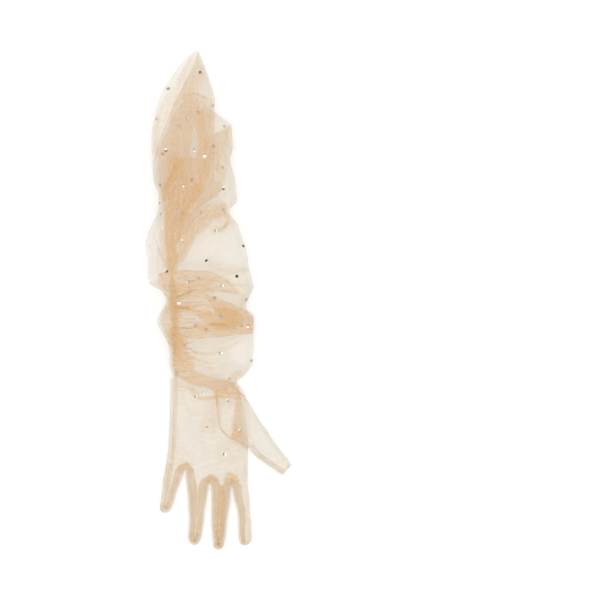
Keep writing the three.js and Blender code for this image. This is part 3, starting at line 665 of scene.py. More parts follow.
# How far the cloth's two sides stand in from the solid's, or out where negative.
SideTrim = namedtuple("SideTrim", "y left right")
SIDE_TRIMS = rows_of(
    SideTrim,
    (-106, 0, 0), (-101, 0.5, 0.5), (-98, 1, 3), (-94, 1.8, 2.4), (-88, 2, -0.3), (-80, 0.8, 0),
    (-70, 0, -0.5), (-62, 1.3, 0.8), (-53, 1.7, 0.2), (-43, 0.2, 1.1), (-28, 0, 1.7), (-18, 1.8, 0.6),
    (-10, 1.7, 3.4), (-2, 2.2, 0.4), (6, 1.4, 0), (12, 3, -0.6), (18, 0, 0), (140, 0, 0), (152, 1.3, 1.2),
    (162, 0, 0.8), (172, -1.5, 0), (190, -1.4, 0.8), (204, -1, 1), (213, -1, 3), (224, -0.6, 0.6),
    (240, 0, 0),
)

# The upper layer's hem at the mouth, from the side up to the tip.
Hem = namedtuple("Hem", "y x")
MOUTH_HEM = rows_of(
    Hem,
    (150, -86), (160, -72.5), (175, -69.5), (183, -67), (190, -64.5), (198, -61), (207, -57), (220, -52),
    (235, -45), (252, -36.5), (262, -31.5), (270, -27.2), (285, -23.5),
)
WRIST_EDGE = rows_of(Hem, (-97, -54.6), (-99, -43), (-107, -24), (-106, -3), (-110.5, 26))

# The layers drawn up inside the sleeve: their two sides along Y, and their crown across X.
InnerRow = namedtuple("InnerRow", "y left right")
INNER_SIDES = rows_of(
    InnerRow,
    (30, -55, -47), (40, -58, -46), (50, -59, -44), (60, -60, -47), (70, -61.8, -42), (80, -63.2, -35.5),
    (90, -63.6, -29.5), (100, -63, -23.5), (105, -63, -20), (110, -63, -14.5), (115, -65, -8.5),
    (120, -66, -1), (127, -67, 5), (133, -68, 5), (136, -69, -4), (150, -70, -4.5), (172, -69, -4.5),
    (200, -58, -4.5), (240, -56, -4.5),
)
INNER_CROWN = rows_of(
    Hem,
    (200, -60), (214, -53), (224, -45.5), (231, -38.5), (236, -31), (236, -25), (232, -18), (225, -14),
    (219.5, -11.5), (214.5, -4),
)

# Outline of the hand from the wrist down the outer side and round the fingers.
HAND_SIDE = (
    (-54.6, -86), (-54.6, -112), (-55.4, -130), (-56, -150), (-57, -168), (-59, -184), (-60.9, -196),
    (-63, -206), (-64, -219), (-65.8, -232), (-66.5, -238.6), (-64.4, -242.6), (-60, -243.4), (-56, -242),
    (-53.4, -239), (-50.4, -231.5), (-47.2, -219.5), (-44, -212), (-41.6, -205), (-39.2, -199),
    (-37.9, -196.4), (-37.6, -200.5), (-36.8, -210), (-34.9, -222), (-34, -240), (-33.4, -254),
    (-34.3, -266), (-34.3, -273), (-32, -277.8), (-28.5, -280.2), (-25.4, -280.2), (-22.2, -277.8),
    (-19.8, -273), (-18.2, -268), (-16.6, -257), (-15.4, -246), (-13.8, -235), (-12.2, -225),
    (-11, -217.5), (-9.5, -211.2), (-8.2, -217), (-7.9, -227), (-7.9, -246), (-7.8, -258), (-6.9, -268),
    (-6.2, -277), (-5, -282.6), (-2, -284.9), (3, -284.9), (5.5, -282.6), (7, -277.5), (8.6, -271),
    (9.8, -261), (10.6, -252), (12, -243), (13.8, -234), (14.7, -224), (15.6, -214.8), (16.7, -220.5),
    (18.4, -229.5), (21.4, -240.5), (22.8, -252), (23.2, -266), (24.4, -277.2), (28, -280.2),
    (33.6, -279.8), (37, -277.4), (38.4, -273), (37.8, -258), (36.4, -243), (35.7, -226), (34, -214),
    (33.9, -196), (34.1, -178), (34.6, -168.4),
)
HAND_BACK_EDGE = ((34.2, -160), (33.4, -150), (30.6, -130), (26.5, -112), (23.4, -100), (21.5, -86))
THUMB_SEAM_LINE = (
    (34.6, -168.4), (19.3, -159.5), (13.7, -157.5), (4.4, -149.3), (0.5, -136.3), (-1.6, -109.8),
    (-1.6, -86),
)
THUMB_EDGE = (
    (34.6, -168.4), (42, -178), (53, -186.4), (72.4, -199.4), (75.4, -198.6), (83, -189.6), (82.8, -187),
    (76, -177.4), (65, -163.6), (56, -149.6), (46.6, -136.6), (40.4, -126), (35.6, -118), (31, -110.8),
    (29.3, -105), (25, -100), (22, -96), (21.5, -86),
)
THUMB_SET_TOP = -99  # where the thumb's seam goes under the cuff
THUMB_UNDER_EDGE = ((21.5, -86), (21.8, -110.4), (18.4, -130), (18.4, -146), (25.6, -161), (34.6, -168.4))

# Tips of the fingers, where the bands beside them begin and end.
TIP_STARTS = {
    "little": (-59.5, -242.8),
    "ring": (-26.8, -280.9),
    "middle": (0.5, -285),
    "index": (31, -280.5),
}

# Rhinestones on the lower layer, which show through as duller dots.
DULL_BACK_STONES = (
    (-57, 241.8), (-63.5, 167.2), (-5.2, 176.2), (-30.1, 137.7), (-66.3, 131.6), (-40.2, 98.7),
    (-3.9, 2.6), (32, 0.3), (-13.7, -33.9), (37.8, -69.6),
)
PALE_BACK_STONES = ((-66, 28.2), (-70.8, 207.2), (-79, 62.8), (26.9, -29.7), (14, -102.3), (-17.1, -106.3))
BACK_STONES = DULL_BACK_STONES + PALE_BACK_STONES
STONE_SIDES = 8

# The sewn allowances: how far the near and the far side of each lie in from its path, its thicknesses of net,
# its height, how much further it reaches at the root of two fingers, and the seed of its crinkles.
Band = namedtuple("Band", "name near far density low root seed", defaults=(2.1, 0.0, 3))
BANDS = (
    Band("seam_outer_side", 3.8, 8.2, 0.5),
    Band("seam_little_ring", 2.0, 7.4, 1.35, root=4.0, seed=10),
    Band("seam_ring_middle", 2.0, 7.4, 1.35, root=4.2, seed=11),
    Band("seam_middle_index", 2.0, 7.4, 1.35, root=3.6, seed=12),
    Band("seam_thumb", 1.2, 6.6, 0.75),
    Band("seam_thumb_tip", 0.3, 2.6, 0.7),
    Band("seam_thumb_set", -1.5, 1.2, 1.5, low=9.5),
)
BAND_COLUMNS = 7
BAND_LAYERS = 2
BAND_PITCH = 0.9  # spacing of a band's corners along it
BAND_RUFFLE = 0.35  # height of its crinkles
BAND_WOBBLE = 0.45  # unevenness of its far side
LEAST_BAND = 1.0  # its least height
GATHERED_PATH = ((-49, -98), (-49, -80), (-48.5, -58), (-49.5, -30), (-50.5, 0), (-52.5, 20), (-53, 38))
GATHERED_COLUMNS = 15
GATHERED_LAYERS = 3
GATHERED_PITCH = 0.8
GATHERED_SEED = 41
CREASE_COUNT = 26  # short creases that fan out from the gathered seam
CREASE_SEED = 23

# Faint creases pressed into the palm.
PALM_CREASE_WIDTH = 1.5
PALM_CREASE_LIFT = 5
PALM_CREASES = (
    ((-42, -101), (-36, -116), (-29.6, -133.4)),
    ((-4.3, -115), (-10, -127), (-17, -141.4)),
    ((-42, -162.7), (-39, -173), (-33.6, -185.1)),
    ((-20, -110), (-24, -130), (-22, -160)),
)

# Ways that the cut crystal catches the light, painted into the colours of its facets: painted dark
# reflections, the foil's silver and painted highlights, with painted glints that glow.
CrystalLook = namedtuple("CrystalLook", "name brightness glow metallic roughness dark silver bright")
CRYSTAL_LOOKS = {
    look.name: look
    for look in (
        CrystalLook("dark", -0.33, 0.8, 0.3, 0.2, (0.03, 0.026, 0.03), (0.13, 0.12, 0.13), (0.8, 0.8, 0.8)),
        CrystalLook("mixed", -0.02, 0.9, 0.3, 0.15, (0.05, 0.045, 0.05), (0.28, 0.26, 0.27), (1.0, 1.0, 1.0)),
        CrystalLook("white", 0.1, 0.8, 0.2, 0.15, (0.25, 0.22, 0.20), (0.70, 0.66, 0.60), (1.0, 1.0, 0.98)),
        CrystalLook("pale", -0.08, 0.5, 0.1, 0.25, (0.46, 0.43, 0.38), (0.62, 0.58, 0.50), (1.0, 0.99, 0.95)),
        CrystalLook("dull", 0.0, 0.0, 0.0, 0.5, (0.50, 0.45, 0.37), (0.57, 0.51, 0.42), (0.66, 0.60, 0.50)),
        CrystalLook("back", 0.0, 0.0, 0.0, 0.5, (0.42, 0.40, 0.35), (0.52, 0.49, 0.43), (0.66, 0.62, 0.55)),
        CrystalLook("pale_back", 0.1, 0.4, 0.0, 0.5, (0.60, 0.58, 0.54), (0.75, 0.73, 0.68), (1, 1, 0.97)),
    )
}
# Numbers of the stones that do not lie dull under the net, by how they catch the light, which is painted into
# their facets.
STONE_LOOKS = {
    "dark": (1, 20, 22, 23, 24),
    "mixed": (7, 13, 34, 41),
    "white": (10, 12, 14, 28, 30),
    "pale": (4, 6, 8, 15, 19, 21, 25, 27, 33, 37, 38, 39, 40),
}

# The stage, in metres.
FLOOR_HALF = 12.0
FLOOR_DROP = -0.0002
LAMP_SIZE = 1.5
LAMP_OUT = 1.5
LAMP_UP = 2.2


def ease(low, high, value):
    """A smooth step from 0 at low to 1 at high."""
    share = np.clip((value - low) / (high - low), 0, 1)
    return share * share * (3 - 2 * share)


def bell(spread, reach=None):
    """Weights of a Gaussian from -reach to reach, which add up to 1."""
    reach = reach or int(3 * spread) + 1
    weights = np.exp(-0.5 * (np.arange(-reach, reach + 1) / spread) ** 2)
    return weights / weights.sum()


def smooth_line(values, weights):
    """Smooths values along a line, its ends held level."""
    return np.convolve(np.pad(values, len(weights) // 2, "edge"), weights, "valid")


def crinkle_line(values, spread):
    """Smooths values along a line and scales them to reach 1."""
    smooth = smooth_line(values, bell(spread))
    return smooth / max(np.abs(smooth).max(), 1e-6)


def blur(grid, spread):
    """Gaussian blur of a grid, with its spread in cells."""
    kernel = bell(spread)
    for axis in (0, 1):
        grid = np.apply_along_axis(lambda line: np.convolve(line, kernel, "same"), axis, grid)
    return grid


def spline(points, spans=6):
    """A Catmull-Rom curve through given points."""
    p = np.array(points, float)
    p = np.vstack([2 * p[0] - p[1], p, 2 * p[-1] - p[-2]])
    made = []
    for a, b, c, d in zip(p, p[1:], p[2:], p[3:]):
        for k in range(spans):
            t = k / spans
            square = (2 * a - 5 * b + 4 * c - d) * t**2
            cube = (3 * b - a - 3 * c + d) * t**3
            made.append(0.5 * (2 * b + (c - a) * t + square + cube))
    made.append(p[-2])
    return np.array(made)


def resample(path, pitch):
    """Evenly spaced points along a path."""
    lengths = np.concatenate([[0], np.cumsum(np.hypot(*np.diff(path, axis=0).T))])
    count = max(2, int(lengths[-1] / pitch))
    at = np.linspace(0, lengths[-1], count)
    return np.stack([np.interp(at, lengths, path[:, k]) for k in (0, 1)], 1)


def stretch_between(path, start, end):
    """The stretch of a path between the points nearest two places."""
    a = np.hypot(*(path - np.array(start)).T).argmin()
    b = np.hypot(*(path - np.array(end)).T).argmin()
    return path[min(a, b) : max(a, b) + 1]


def without_doubles(path):
    """Drops points that repeat the one before, and a last point that repeats the first."""
    kept = [path[0]]
    for p in path[1:]:
        if np.hypot(*(p - kept[-1])) > LEAST_STEP:
            kept.append(p)
    if np.hypot(*(kept[0] - kept[-1])) < LEAST_STEP:
        kept.pop()
    return np.array(kept)


def measure(path, x, y):
    """For many places: distance to the left of a path, share of its length, and the path's normal there."""
    best = np.full(x.shape, np.inf)
    across, share, nx, ny = (np.zeros(x.shape) for _ in range(4))
    steps = np.diff(path, axis=0)
    lengths = np.maximum(np.hypot(steps[:, 0], steps[:, 1]), 1e-9)
    starts = np.concatenate([[0], np.cumsum(lengths)])
    for (ax, ay), (dx, dy), length, start in zip(path, steps, lengths, starts):
        u = np.clip(((x - ax) * dx + (y - ay) * dy) / length**2, 0, 1)
        px, py = x - ax - u * dx, y - ay - u * dy
        far = np.hypot(px, py)
        closer = far < best
        best = np.where(closer, far, best)
        side = np.where(dx * py - dy * px < 0, -1.0, 1.0)
        across = np.where(closer, side * far, across)
        share = np.where(closer, (start + u * length) / starts[-1], share)
        nx = np.where(closer, -dy / length, nx)
        ny = np.where(closer, dx / length, ny)
    return across, share, nx, ny


def inside_outline(outline, x, y):
    """Whether places lie inside a closed outline."""
    odd = np.zeros(x.shape, bool)
    for (ax, ay), (bx, by) in zip(outline, np.roll(outline, -1, 0)):
        if ay == by:
            continue
        crosses = (ay > y) != (by > y)
        odd ^= crosses & (x < ax + (bx - ax) * (y - ay) / (by - ay))
    return odd


def box_round(path, margin, x, y):
    """Which places lie in the upright box round a path."""
    low, high = path.min(0) - margin, path.max(0) + margin
    return (x > low[0]) & (x < high[0]) & (y > low[1]) & (y < high[1])


def hem_line(rows, at, key):
    """Reads a hem's rows along Y or along X."""
    rows = sorted(rows, key=lambda row: getattr(row, key))
    given = "x" if key == "y" else "y"
    return np.interp(at, [getattr(row, key) for row in rows], [getattr(row, given) for row in rows])


def field_along(rows, field, y):
    """Reads one field of a table's rows along Y."""
    return np.interp(y, [row.y for row in rows], [getattr(row, field) for row in rows])


def crowding(x, y):
    """Thicknesses of net that gathers add at places in plan, for both layers together."""
    extra = np.zeros(x.shape)
    for p in PATCHES:
        closed = spline(p.points + p.points[:1], 3)
        near = box_round(closed, p.soft, x, y)
        if near.any():
            inward = np.abs(measure(closed, x[near], y[near])[0])
            inward = np.where(inside_outline(closed, x[near], y[near]), inward, -inward)
            extra[near] += p.count * ease(-p.soft, p.soft, inward)
    for c in CREASES:
        path = spline(c.points)
        near = box_round(path, 3 * c.width, x, y)
        if near.any():
            across, along, _, _ = measure(path, x[near], y[near])
            shade = np.exp(-((across / c.width) ** 2))
            if c.fade_start:
                shade = shade * ease(0, CREASE_FADE, along)
            if c.fade_end:
                shade = shade * ease(0, CREASE_FADE, 1 - along)
            extra[near] += c.count * shade
    return extra


def net_count_at(x, y, piece):
    """Thicknesses of net at places of one of a piece's two layers, streaked along the gathers."""
    extra = crowding(x, y)
    in_sleeve = ease(*SLEEVE_START, y)
    if piece == "sleeve":
        extra = np.maximum(extra, MOST_PARTING) - 2 * (1 - in_sleeve)
    else:
        past_wrist = y - hem_line(WRIST_EDGE, x, "x")
        extra = extra * (1 - ease(-2, 2, past_wrist)) - 2 * in_sleeve
    upward = ease(*STREAKS_TURN, y)
    streak = STREAKS_ALONG.at(x, y) * upward + STREAKS_ACROSS.at(x, y) * (1 - upward)
    return np.maximum(LEAST_NET, 1 + 0.5 * extra * (1 + CROWDED_STREAKS * streak) + FAINT_STREAKS * streak)


def inner_share(x, y):
    """How much of the layers inside the sleeve lies at places: they thin out at the side and the crown."""
    left, right = (field_along(INNER_SIDES, side, y) for side in ("left", "right"))
    inward = hem_line(INNER_CROWN, x, "x") - y
    thinning = ease(0, INNER_SIDE_FADE, x - left) * (0.4 + 0.6 * ease(0, INNER_CROWN_FADE, inward))
    return thinning * (x < right + 0.5) * (inward > -0.5) * (y > INNER_FOOT - 1)


def painted_shade_at(x, y):
    """How deep the painted shade of the net is, from 0 where two layers are in view to 1 where it is crowded.
    """
    layers = crowding(x, y) + 2 * inner_share(x, y)
    return np.clip(layers / FULL_PAINTED_SHADE_LAYERS, 0, 1) ** PAINTED_SHADE_CURVE


def frame_mesh(names):
    """Corners in millimetres and triangles of some of the frame's nodes."""
    places, faces, count = [], [], 0
    for name in names:
        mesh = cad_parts[name].data
        mesh.calc_loop_triangles()
        co = np.array([v.co for v in mesh.vertices]) / MM
        places.append(co)
        faces.append(np.array([t.vertices for t in mesh.loop_triangles]) + count)
        count += len(co)
    return np.vstack(places), np.vstack(faces)


class Heights:
    """Height of the frame's upper surface over the table, smoothed, at any place in plan."""

    step = 2.0
    margin = 8
    fine_spread = 1.3
    wide_spread = 3.0
    least_found = 0.08  # share of the cells round a place that must have met the frame for the fine blur

    def __init__(self, names):
        places, faces = frame_mesh(names)
        tree = BVHTree.FromPolygons(places.tolist(), faces.tolist())
        self.low = places.min(0)[:2] - self.margin
        high = places.max(0)[:2] + self.margin
        nx, ny = ((high - self.low) / self.step).astype(int) + 1
        found = np.zeros((nx, ny))
        hit = np.zeros((nx, ny))
        for i in range(nx):
            for j in range(ny):
                x, y = self.low + self.step * np.array((i, j))
                place = tree.ray_cast(Vector((x, y, OVERHEAD)), Vector((0, 0, -1)))[0]
                if place is not None:
                    found[i, j], hit[i, j] = place.z, 1
        hit_fine = blur(hit, self.fine_spread)
        fine = blur(found, self.fine_spread) / np.maximum(hit_fine, 1e-6)
        wide = blur(found, self.wide_spread) / np.maximum(blur(hit, self.wide_spread), 1e-6)
        self.grid = np.where(hit_fine > self.least_found, fine, wide)

    def at(self, x, y):
        """Height at places in plan, blended between the cells round each."""
        u = np.clip((x - self.low[0]) / self.step, 0, self.grid.shape[0] - 1.001)
        v = np.clip((y - self.low[1]) / self.step, 0, self.grid.shape[1] - 1.001)
        i, j = u.astype(int), v.astype(int)
        u, v = u - i, v - j
        g = self.grid
        low = g[i, j] * (1 - u) + g[i + 1, j] * u
        high = g[i, j + 1] * (1 - u) + g[i + 1, j + 1] * u
        return low * (1 - v) + high * v


class Noise:
    """Soft seeded unevenness in plan, from -1 to 1, longer along one direction than across it."""

    wave_count = 14
    loudness = 5  # the sum of the waves that counts as 1

    def __init__(self, seed, along, across, turn=0.0):
        draw = np.random.RandomState(seed)
        self.waves = []
        for _ in range(self.wave_count):
            angle = turn + draw.normal(0, 0.35)
            size = across * draw.uniform(0.7, 1.8)
            kx, ky = -math.sin(angle) / size, math.cos(angle) / size
            lx, ly = math.cos(angle) / along, math.sin(angle) / along
            drift = draw.normal(0, 1)
            self.waves.append((kx + drift * lx, ky + drift * ly, draw.uniform(0, 2 * math.pi)))

    def at(self, x, y):
        """Unevenness at places in plan."""
        total = sum(np.sin(2 * math.pi * (kx * x + ky * y) + phase) for kx, ky, phase in self.waves)
        return np.clip(total / self.loudness, -1, 1)


def stone_planes():
    """Centre of each stone's back, and its normal, in millimetres."""
    planes = []
    for name in STONE_NODES:
        co = np.array([v.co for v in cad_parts[name].data.vertices]) / MM
        middle = co.mean(0)
        normal = np.linalg.svd(co - middle)[2][2]
        normal = normal if normal[2] > 0 else -normal
        lowest = ((co - middle) @ normal).min()
        planes.append((middle + normal * lowest, normal))
    return planes


class Body:
    """The frame's form: heights, side lines and stones, worked out once and used by every sheet."""

    first_y, last_y = -118.5, 285  # stretch along Y where the side lines are read
    smoothing = bell(1.6, 4)
    settle = (2.6, 8.0)  # distances from a stone over which the cloth comes level with its back
    glue = 0.08  # depth of the cloth under a stone's back

    def __init__(self):
        self.top = Heights(WALL_NODES)
        self.stones = stone_planes()
        self.ys = np.arange(self.first_y, self.last_y, 1.0)
        places, faces = frame_mesh(WALL_NODES)
        edges = np.vstack([faces[:, [0, 1]], faces[:, [1, 2]], faces[:, [2, 0]]])
        a, b = places[edges[:, 0]], places[edges[:, 1]]
        sides = []
        for y in self.ys:
            on = ((a[:, 1] - y) * (b[:, 1] - y) <= 0) & (a[:, 1] != b[:, 1])
            x = a[on, 0] + (b[on, 0] - a[on, 0]) * (y - a[on, 1]) / (b[on, 1] - a[on, 1])
            sides.append((x.min(), x.max()))
        self.left_line, self.right_line = (smooth_line(side, self.smoothing) for side in np.array(sides).T)
        middle = 0.5 * (self.left_line + self.right_line)
        self.crest_line = smooth_line(self.top.at(middle, self.ys), self.smoothing)

    def left(self, y):
        """The cloth's left side along Y."""
        return np.interp(y, self.ys, self.left_line) + field_along(SIDE_TRIMS, "left", y)

    def right(self, y):
        """The cloth's right side along Y."""
        return np.interp(y, self.ys, self.right_line) - field_along(SIDE_TRIMS, "right", y)

    def inward(self, x, y):
        """How far places lie in from the nearer side."""
        return np.minimum(x - self.left(y), self.right(y) - x)

    def rim(self, y):
        """Height of both sides along Y."""
        return RIM_SHARE * np.interp(y, self.ys, self.crest_line)

    def upper(self, x, y):
        """Height of the upper layer, brought to the backs of the stones that are glued on it."""
        z = self.top.at(x, y)
        for place, normal in self.stones:
            near = 1 - ease(*self.settle, np.hypot(x - place[0], y - place[1]))
            plane = place[2] - (normal[0] * (x - place[0]) + normal[1] * (y - place[1])) / normal[2]
            z = np.where(near > 0, z + near * (plane - self.glue - z), z)
        return z

    def stone_free(self, x, y):
        """0 at a stone's back and 1 away from the stones."""
        clear = np.ones(x.shape)
        for place, _ in self.stones:
            clear = np.minimum(clear, ease(3, 9, np.hypot(x - place[0], y - place[1])))
        return clear


def pleat(x, y, folds, share):
    """Pulls places in plan into the pleats. Returns them moved, and how deep each lies under the top one."""
    x, y = x.copy(), y.copy()
    start_x, start_y = x.copy(), y.copy()
    deep = np.zeros(x.shape)
    for f in folds:
        path = spline(f.points)
        near = box_round(path, 1.4 * f.width, start_x, start_y)
        if not near.any():
            continue
        across, along, nx, ny = measure(path, start_x[near], start_y[near])
        taper = np.ones(along.shape)
        if not f.open_start:
            taper *= ease(0, PLEAT_FADE, along)
        if not f.open_end:
            taper *= ease(0, PLEAT_FADE, 1 - along)
        strength = f.pull * taper * (f.back + (1 - f.back) * share[near])
        inside = np.abs(across) < f.width
        move = -strength * f.width / math.pi * np.sin(math.pi * across / f.width) * inside
        x[near] += move * nx
        y[near] += move * ny
        turn = f.width / math.pi * np.arccos(np.clip(1 / np.maximum(strength, 1), -1, 1)) + 0.01  # never 0
        side = across * f.side
        under = ease(-turn, turn, side) * (1 - ease(0.75 * f.width, 1.35 * f.width, side))
        deep[near] += f.depth * under * np.clip(strength - 1, 0, 1)
    return x, y, deep


def grid_faces(rows, columns, first=0, flip=False):
    """Quads of a grid of corners that are numbered row by row."""
    i, j = np.meshgrid(np.arange(rows - 1), np.arange(columns - 1), indexing="ij")
    a = (first + i * columns + j).ravel()
    quads = np.stack([a, a + 1, a + columns + 1, a + columns], 1)
    return quads[:, ::-1] if flip else quads


def set_values(mesh, name, values):
    """Writes one number for each corner of a mesh."""
    attribute = mesh.attributes.new(name, "FLOAT", "POINT")
    attribute.data.foreach_set("value", np.asarray(values, np.float32))


def make_piece(name, places, faces, material, density, slot="tulle", nodes=()):
    """One named cloth mesh, riding on the body, with its thickness of net in view and its painted shade as
    attributes.
    """
    places = np.asarray(places)
    is_seam = slot == "seam"
    mesh = bpy.data.meshes.new(name)
    mesh.from_pydata((places * MM).tolist(), [], [list(map(int, face)) for face in faces])
    set_values(mesh, NET_COUNT, density)
    # Painted shade: fixed and deep on the seams, and elsewhere deeper where the net is crowded.
    tone = np.full(len(places), SEAM_PAINTED_SHADE) if is_seam else painted_shade_at(places[:, 0], places[:, 1])
    set_values(mesh, NET_PAINTED_SHADE, tone)
    if not is_seam:
        work = bmesh.new()
        work.from_mesh(mesh)
        bmesh.ops.remove_doubles(work, verts=work.verts, dist=2e-6)
        bmesh.ops.dissolve_degenerate(work, edges=work.edges, dist=1e-7)
        work.to_mesh(mesh)
        work.free()
    mesh.shade_smooth()
    mesh.materials.append(material)
    thicken_by_slope(mesh)
    piece = bpy.data.objects.new(name, mesh)
    bpy.context.scene.collection.objects.link(piece)
    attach(piece, ROOT)
    if nodes:
        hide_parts(*nodes)


def thicken_by_slope(mesh):
    """More net is in line where the cloth stands steep, so its density attribute grows there."""
    normals = np.empty(len(mesh.vertices) * 3, np.float32)
    mesh.vertex_normals.foreach_get("vector", normals)
    lift = np.abs(normals.reshape(-1, 3)[:, 2])
    steep = np.minimum(MOST_SLOPE_NET, 1 / np.maximum(lift, 1 / MOST_SLOPE_NET))
    base = np.empty(len(mesh.vertices), np.float32)
    density = mesh.attributes[NET_COUNT].data
    density.foreach_get("value", base)
    density.foreach_set("value", (base * steep).astype(np.float32))


def start_group(name, inputs, outputs):
    """A new shader node group with its named sockets, and its input and output nodes."""
    group = bpy.data.node_groups.new(name, "ShaderNodeTree")
    for title, value in inputs.items():
        kind = "NodeSocketColor" if isinstance(value, tuple) else "NodeSocketFloat"
        group.interface.new_socket(name=title, in_out="INPUT", socket_type=kind).default_value = value
    for title, kind in outputs.items():
        group.interface.new_socket(name=title, in_out="OUTPUT", socket_type=kind)
    return group, group.nodes.new("NodeGroupInput"), group.nodes.new("NodeGroupOutput")


def fill(tree, node, inputs):
    """Sets a node's inputs to values, or links them to other nodes' outputs."""
    for key, value in dict(inputs).items():
        if isinstance(value, bpy.types.NodeSocket):
            tree.links.new(value, node.inputs[key])
        else:
            node.inputs[key].default_value = value


def add_node(tree, kind, inputs=(), **settings):
    """A shader node with its settings and its inputs."""
    node = tree.nodes.new(kind)
    for key, value in settings.items():
        setattr(node, key, value)
    fill(tree, node, inputs)
    return node


def math_of(tree, kind, *values):
    """A Math node's result."""
    return add_node(tree, "ShaderNodeMath", enumerate(values), operation=kind).outputs[0]


def net_weave_group():
    """The net: threads round small meshes, uneven in tone and thickness, its colour blended from a painted
    light tone to a painted shade tone.
    """
    group = bpy.data.node_groups.get("net_weave")
    if group:
        return group
    inputs = {
        "Light Tone": (0.7, 0.45, 0.25, 1),
        "Deep Tone": (0.6, 0.35, 0.18, 1),
        "Cover": 0.12,
        "Density": 1.0,
        "Depth of Tone": 0.5,
        "Meshes per Metre": 1100.0,
        "Thread Contrast": 0.4,
    }
    outputs = {"Color": "NodeSocketColor", "Alpha": "NodeSocketFloat", "Height": "NodeSocketFloat"}
    group, given, put = start_group("net_weave", inputs, outputs)
    given = given.outputs
    place = add_node(group, "ShaderNodeTexCoord").outputs["Object"]
    meshes = {"Randomness": 0.45, "Vector": place, "Scale": given["Meshes per Metre"]}
    cells = add_node(group, "ShaderNodeTexVoronoi", meshes, feature="DISTANCE_TO_EDGE")
    fall = {"From Min": 0.04, "From Max": 0.3, "To Min": 1.0, "To Max": -0.45}
    fall["Value"] = cells.outputs["Distance"]
    thread = add_node(group, "ShaderNodeMapRange", fall).outputs["Result"]
    uneven = add_node(group, "ShaderNodeTexNoise", {"Scale": 38.0, "Detail": 3.0, "Vector": place})
    weave = math_of(group, "MULTIPLY", thread, given["Thread Contrast"])
    cloud = math_of(group, "MULTIPLY_ADD", uneven.outputs["Fac"], 0.7, 0.65)
    amount = math_of(group, "MULTIPLY", math_of(group, "ADD", weave, cloud), given["Density"])
    clear = math_of(group, "POWER", math_of(group, "SUBTRACT", 1.0, given["Cover"]), amount)
    alpha = math_of(group, "SUBTRACT", 1.0, clear)
    # Colour: the painted light tone of thin net, going to the painted shade tone where the net is crowded.
    blend = {"Factor": given["Depth of Tone"], "A": given["Light Tone"], "B": given["Deep Tone"]}
    tone = add_node(group, "ShaderNodeMix", blend, data_type="RGBA").outputs["Result"]
    fill(group, put, {"Color": tone, "Alpha": alpha, "Height": thread})
    return group


def net_material(name, settings):
    """Sheer net: its cover per layer, and its density and painted shade from the shape."""
    made = bpy.data.materials.get(name)
    if made:
        return made
    made = bpy.data.materials.new(name)
    made.use_nodes = True
    tree = made.node_tree
    density = add_node(tree, "ShaderNodeAttribute", attribute_name=NET_COUNT).outputs["Fac"]
    # How deep the painted shade is at each corner, read from the piece.
    depth = add_node(tree, "ShaderNodeAttribute", attribute_name=NET_PAINTED_SHADE).outputs["Fac"]
    net = {
        "Light Tone": (*settings.painted_light_tone, 1),
        "Deep Tone": (*settings.painted_shade_tone, 1),
        "Cover": settings.cover,
        "Meshes per Metre": 1 / settings.mesh_size,
        "Density": density,
        "Depth of Tone": depth,
    }
    weave = add_node(tree, "ShaderNodeGroup", net, node_tree=net_weave_group()).outputs
    relief = {"Strength": 0.25, "Distance": 0.0001, "Height": weave["Height"]}
    finish = {
        "Roughness": settings.roughness,
        "Specular IOR Level": 0.2,
        "Sheen Weight": settings.sheen,
        "Sheen Roughness": 0.5,
        "Base Color": weave["Color"],
        "Alpha": weave["Alpha"],
        "Normal": add_node(tree, "ShaderNodeBump", relief).outputs["Normal"],
    }
    fill(tree, tree.nodes["Principled BSDF"], finish)
    return made


def painted_facet_reflections_group():
    """Cut crystal with painted reflections: each facet is painted dark, silvery or bright by the way it leans
    and by the room it would catch, and its bright facets glow as painted glints.
    """
    group = bpy.data.node_groups.get("cut_facets")
    if group:
        return group
    inputs = {
        "Dark Facet": (0.05, 0.05, 0.05, 1),
        "Silver": (0.5, 0.5, 0.5, 1),
        "Bright Facet": (1, 1, 1, 1),
        "Brightness": 0.0,
        "Glints per Metre": 700.0,
        "Stones per Metre": 80.0,
    }
    outputs = {"Color": "NodeSocketColor", "Glow": "NodeSocketColor"}
    group, given, put = start_group("cut_facets", inputs, outputs)
    given = given.outputs
    place = add_node(group, "ShaderNodeTexCoord").outputs

    def cells_of(density):
        """A random colour for each cell, at one of the given densities."""
        scale = {"Vector": place["Object"], "Scale": given[density]}
        return add_node(group, "ShaderNodeTexVoronoi", scale).outputs["Color"]

    def vector_of(kind, *values):
        """A Vector Math node."""
        return add_node(group, "ShaderNodeVectorMath", enumerate(values), operation=kind).outputs

    def blend_of(share, first, second):
        """One colour at a share of 0 and another at 1."""
        blend = {"Factor": share, "A": first, "B": second}
        return add_node(group, "ShaderNodeMix", blend, data_type="RGBA").outputs["Result"]

    centred = vector_of("SUBTRACT", cells_of("Stones per Metre"), (0.5, 0.5, 0.5))[0]
    level = vector_of("MULTIPLY", centred, (1, 1, 0))[0]
    lean = vector_of("DOT_PRODUCT", vector_of("NORMALIZE", level)[0], place["Normal"])["Value"]
    glint = add_node(group, "ShaderNodeSeparateColor", {"Color": cells_of("Glints per Metre")}).outputs["Red"]
    # Painted light: a facet's brightness comes from its lean towards each stone's random direction, the
    # look's brightness and a random glint, not from the lamps.
    light = math_of(group, "MULTIPLY_ADD", lean, 0.5, given["Brightness"])
    light = math_of(group, "MULTIPLY_ADD", glint, 0.5, light)
    # Dark facets take the painted dark colour, middle ones the foil's silver, and bright ones the painted
    # highlight, which also glows.
    is_painted_dark = math_of(group, "LESS_THAN", light, 0.15)
    is_painted_highlight = math_of(group, "GREATER_THAN", light, 0.4)
    plain = blend_of(is_painted_dark, given["Silver"], given["Dark Facet"])
    colour = blend_of(is_painted_highlight, plain, given["Bright Facet"])
    glow = blend_of(is_painted_highlight, (0, 0, 0, 1), given["Bright Facet"])
    fill(group, put, {"Color": colour, "Glow": glow})
    return group


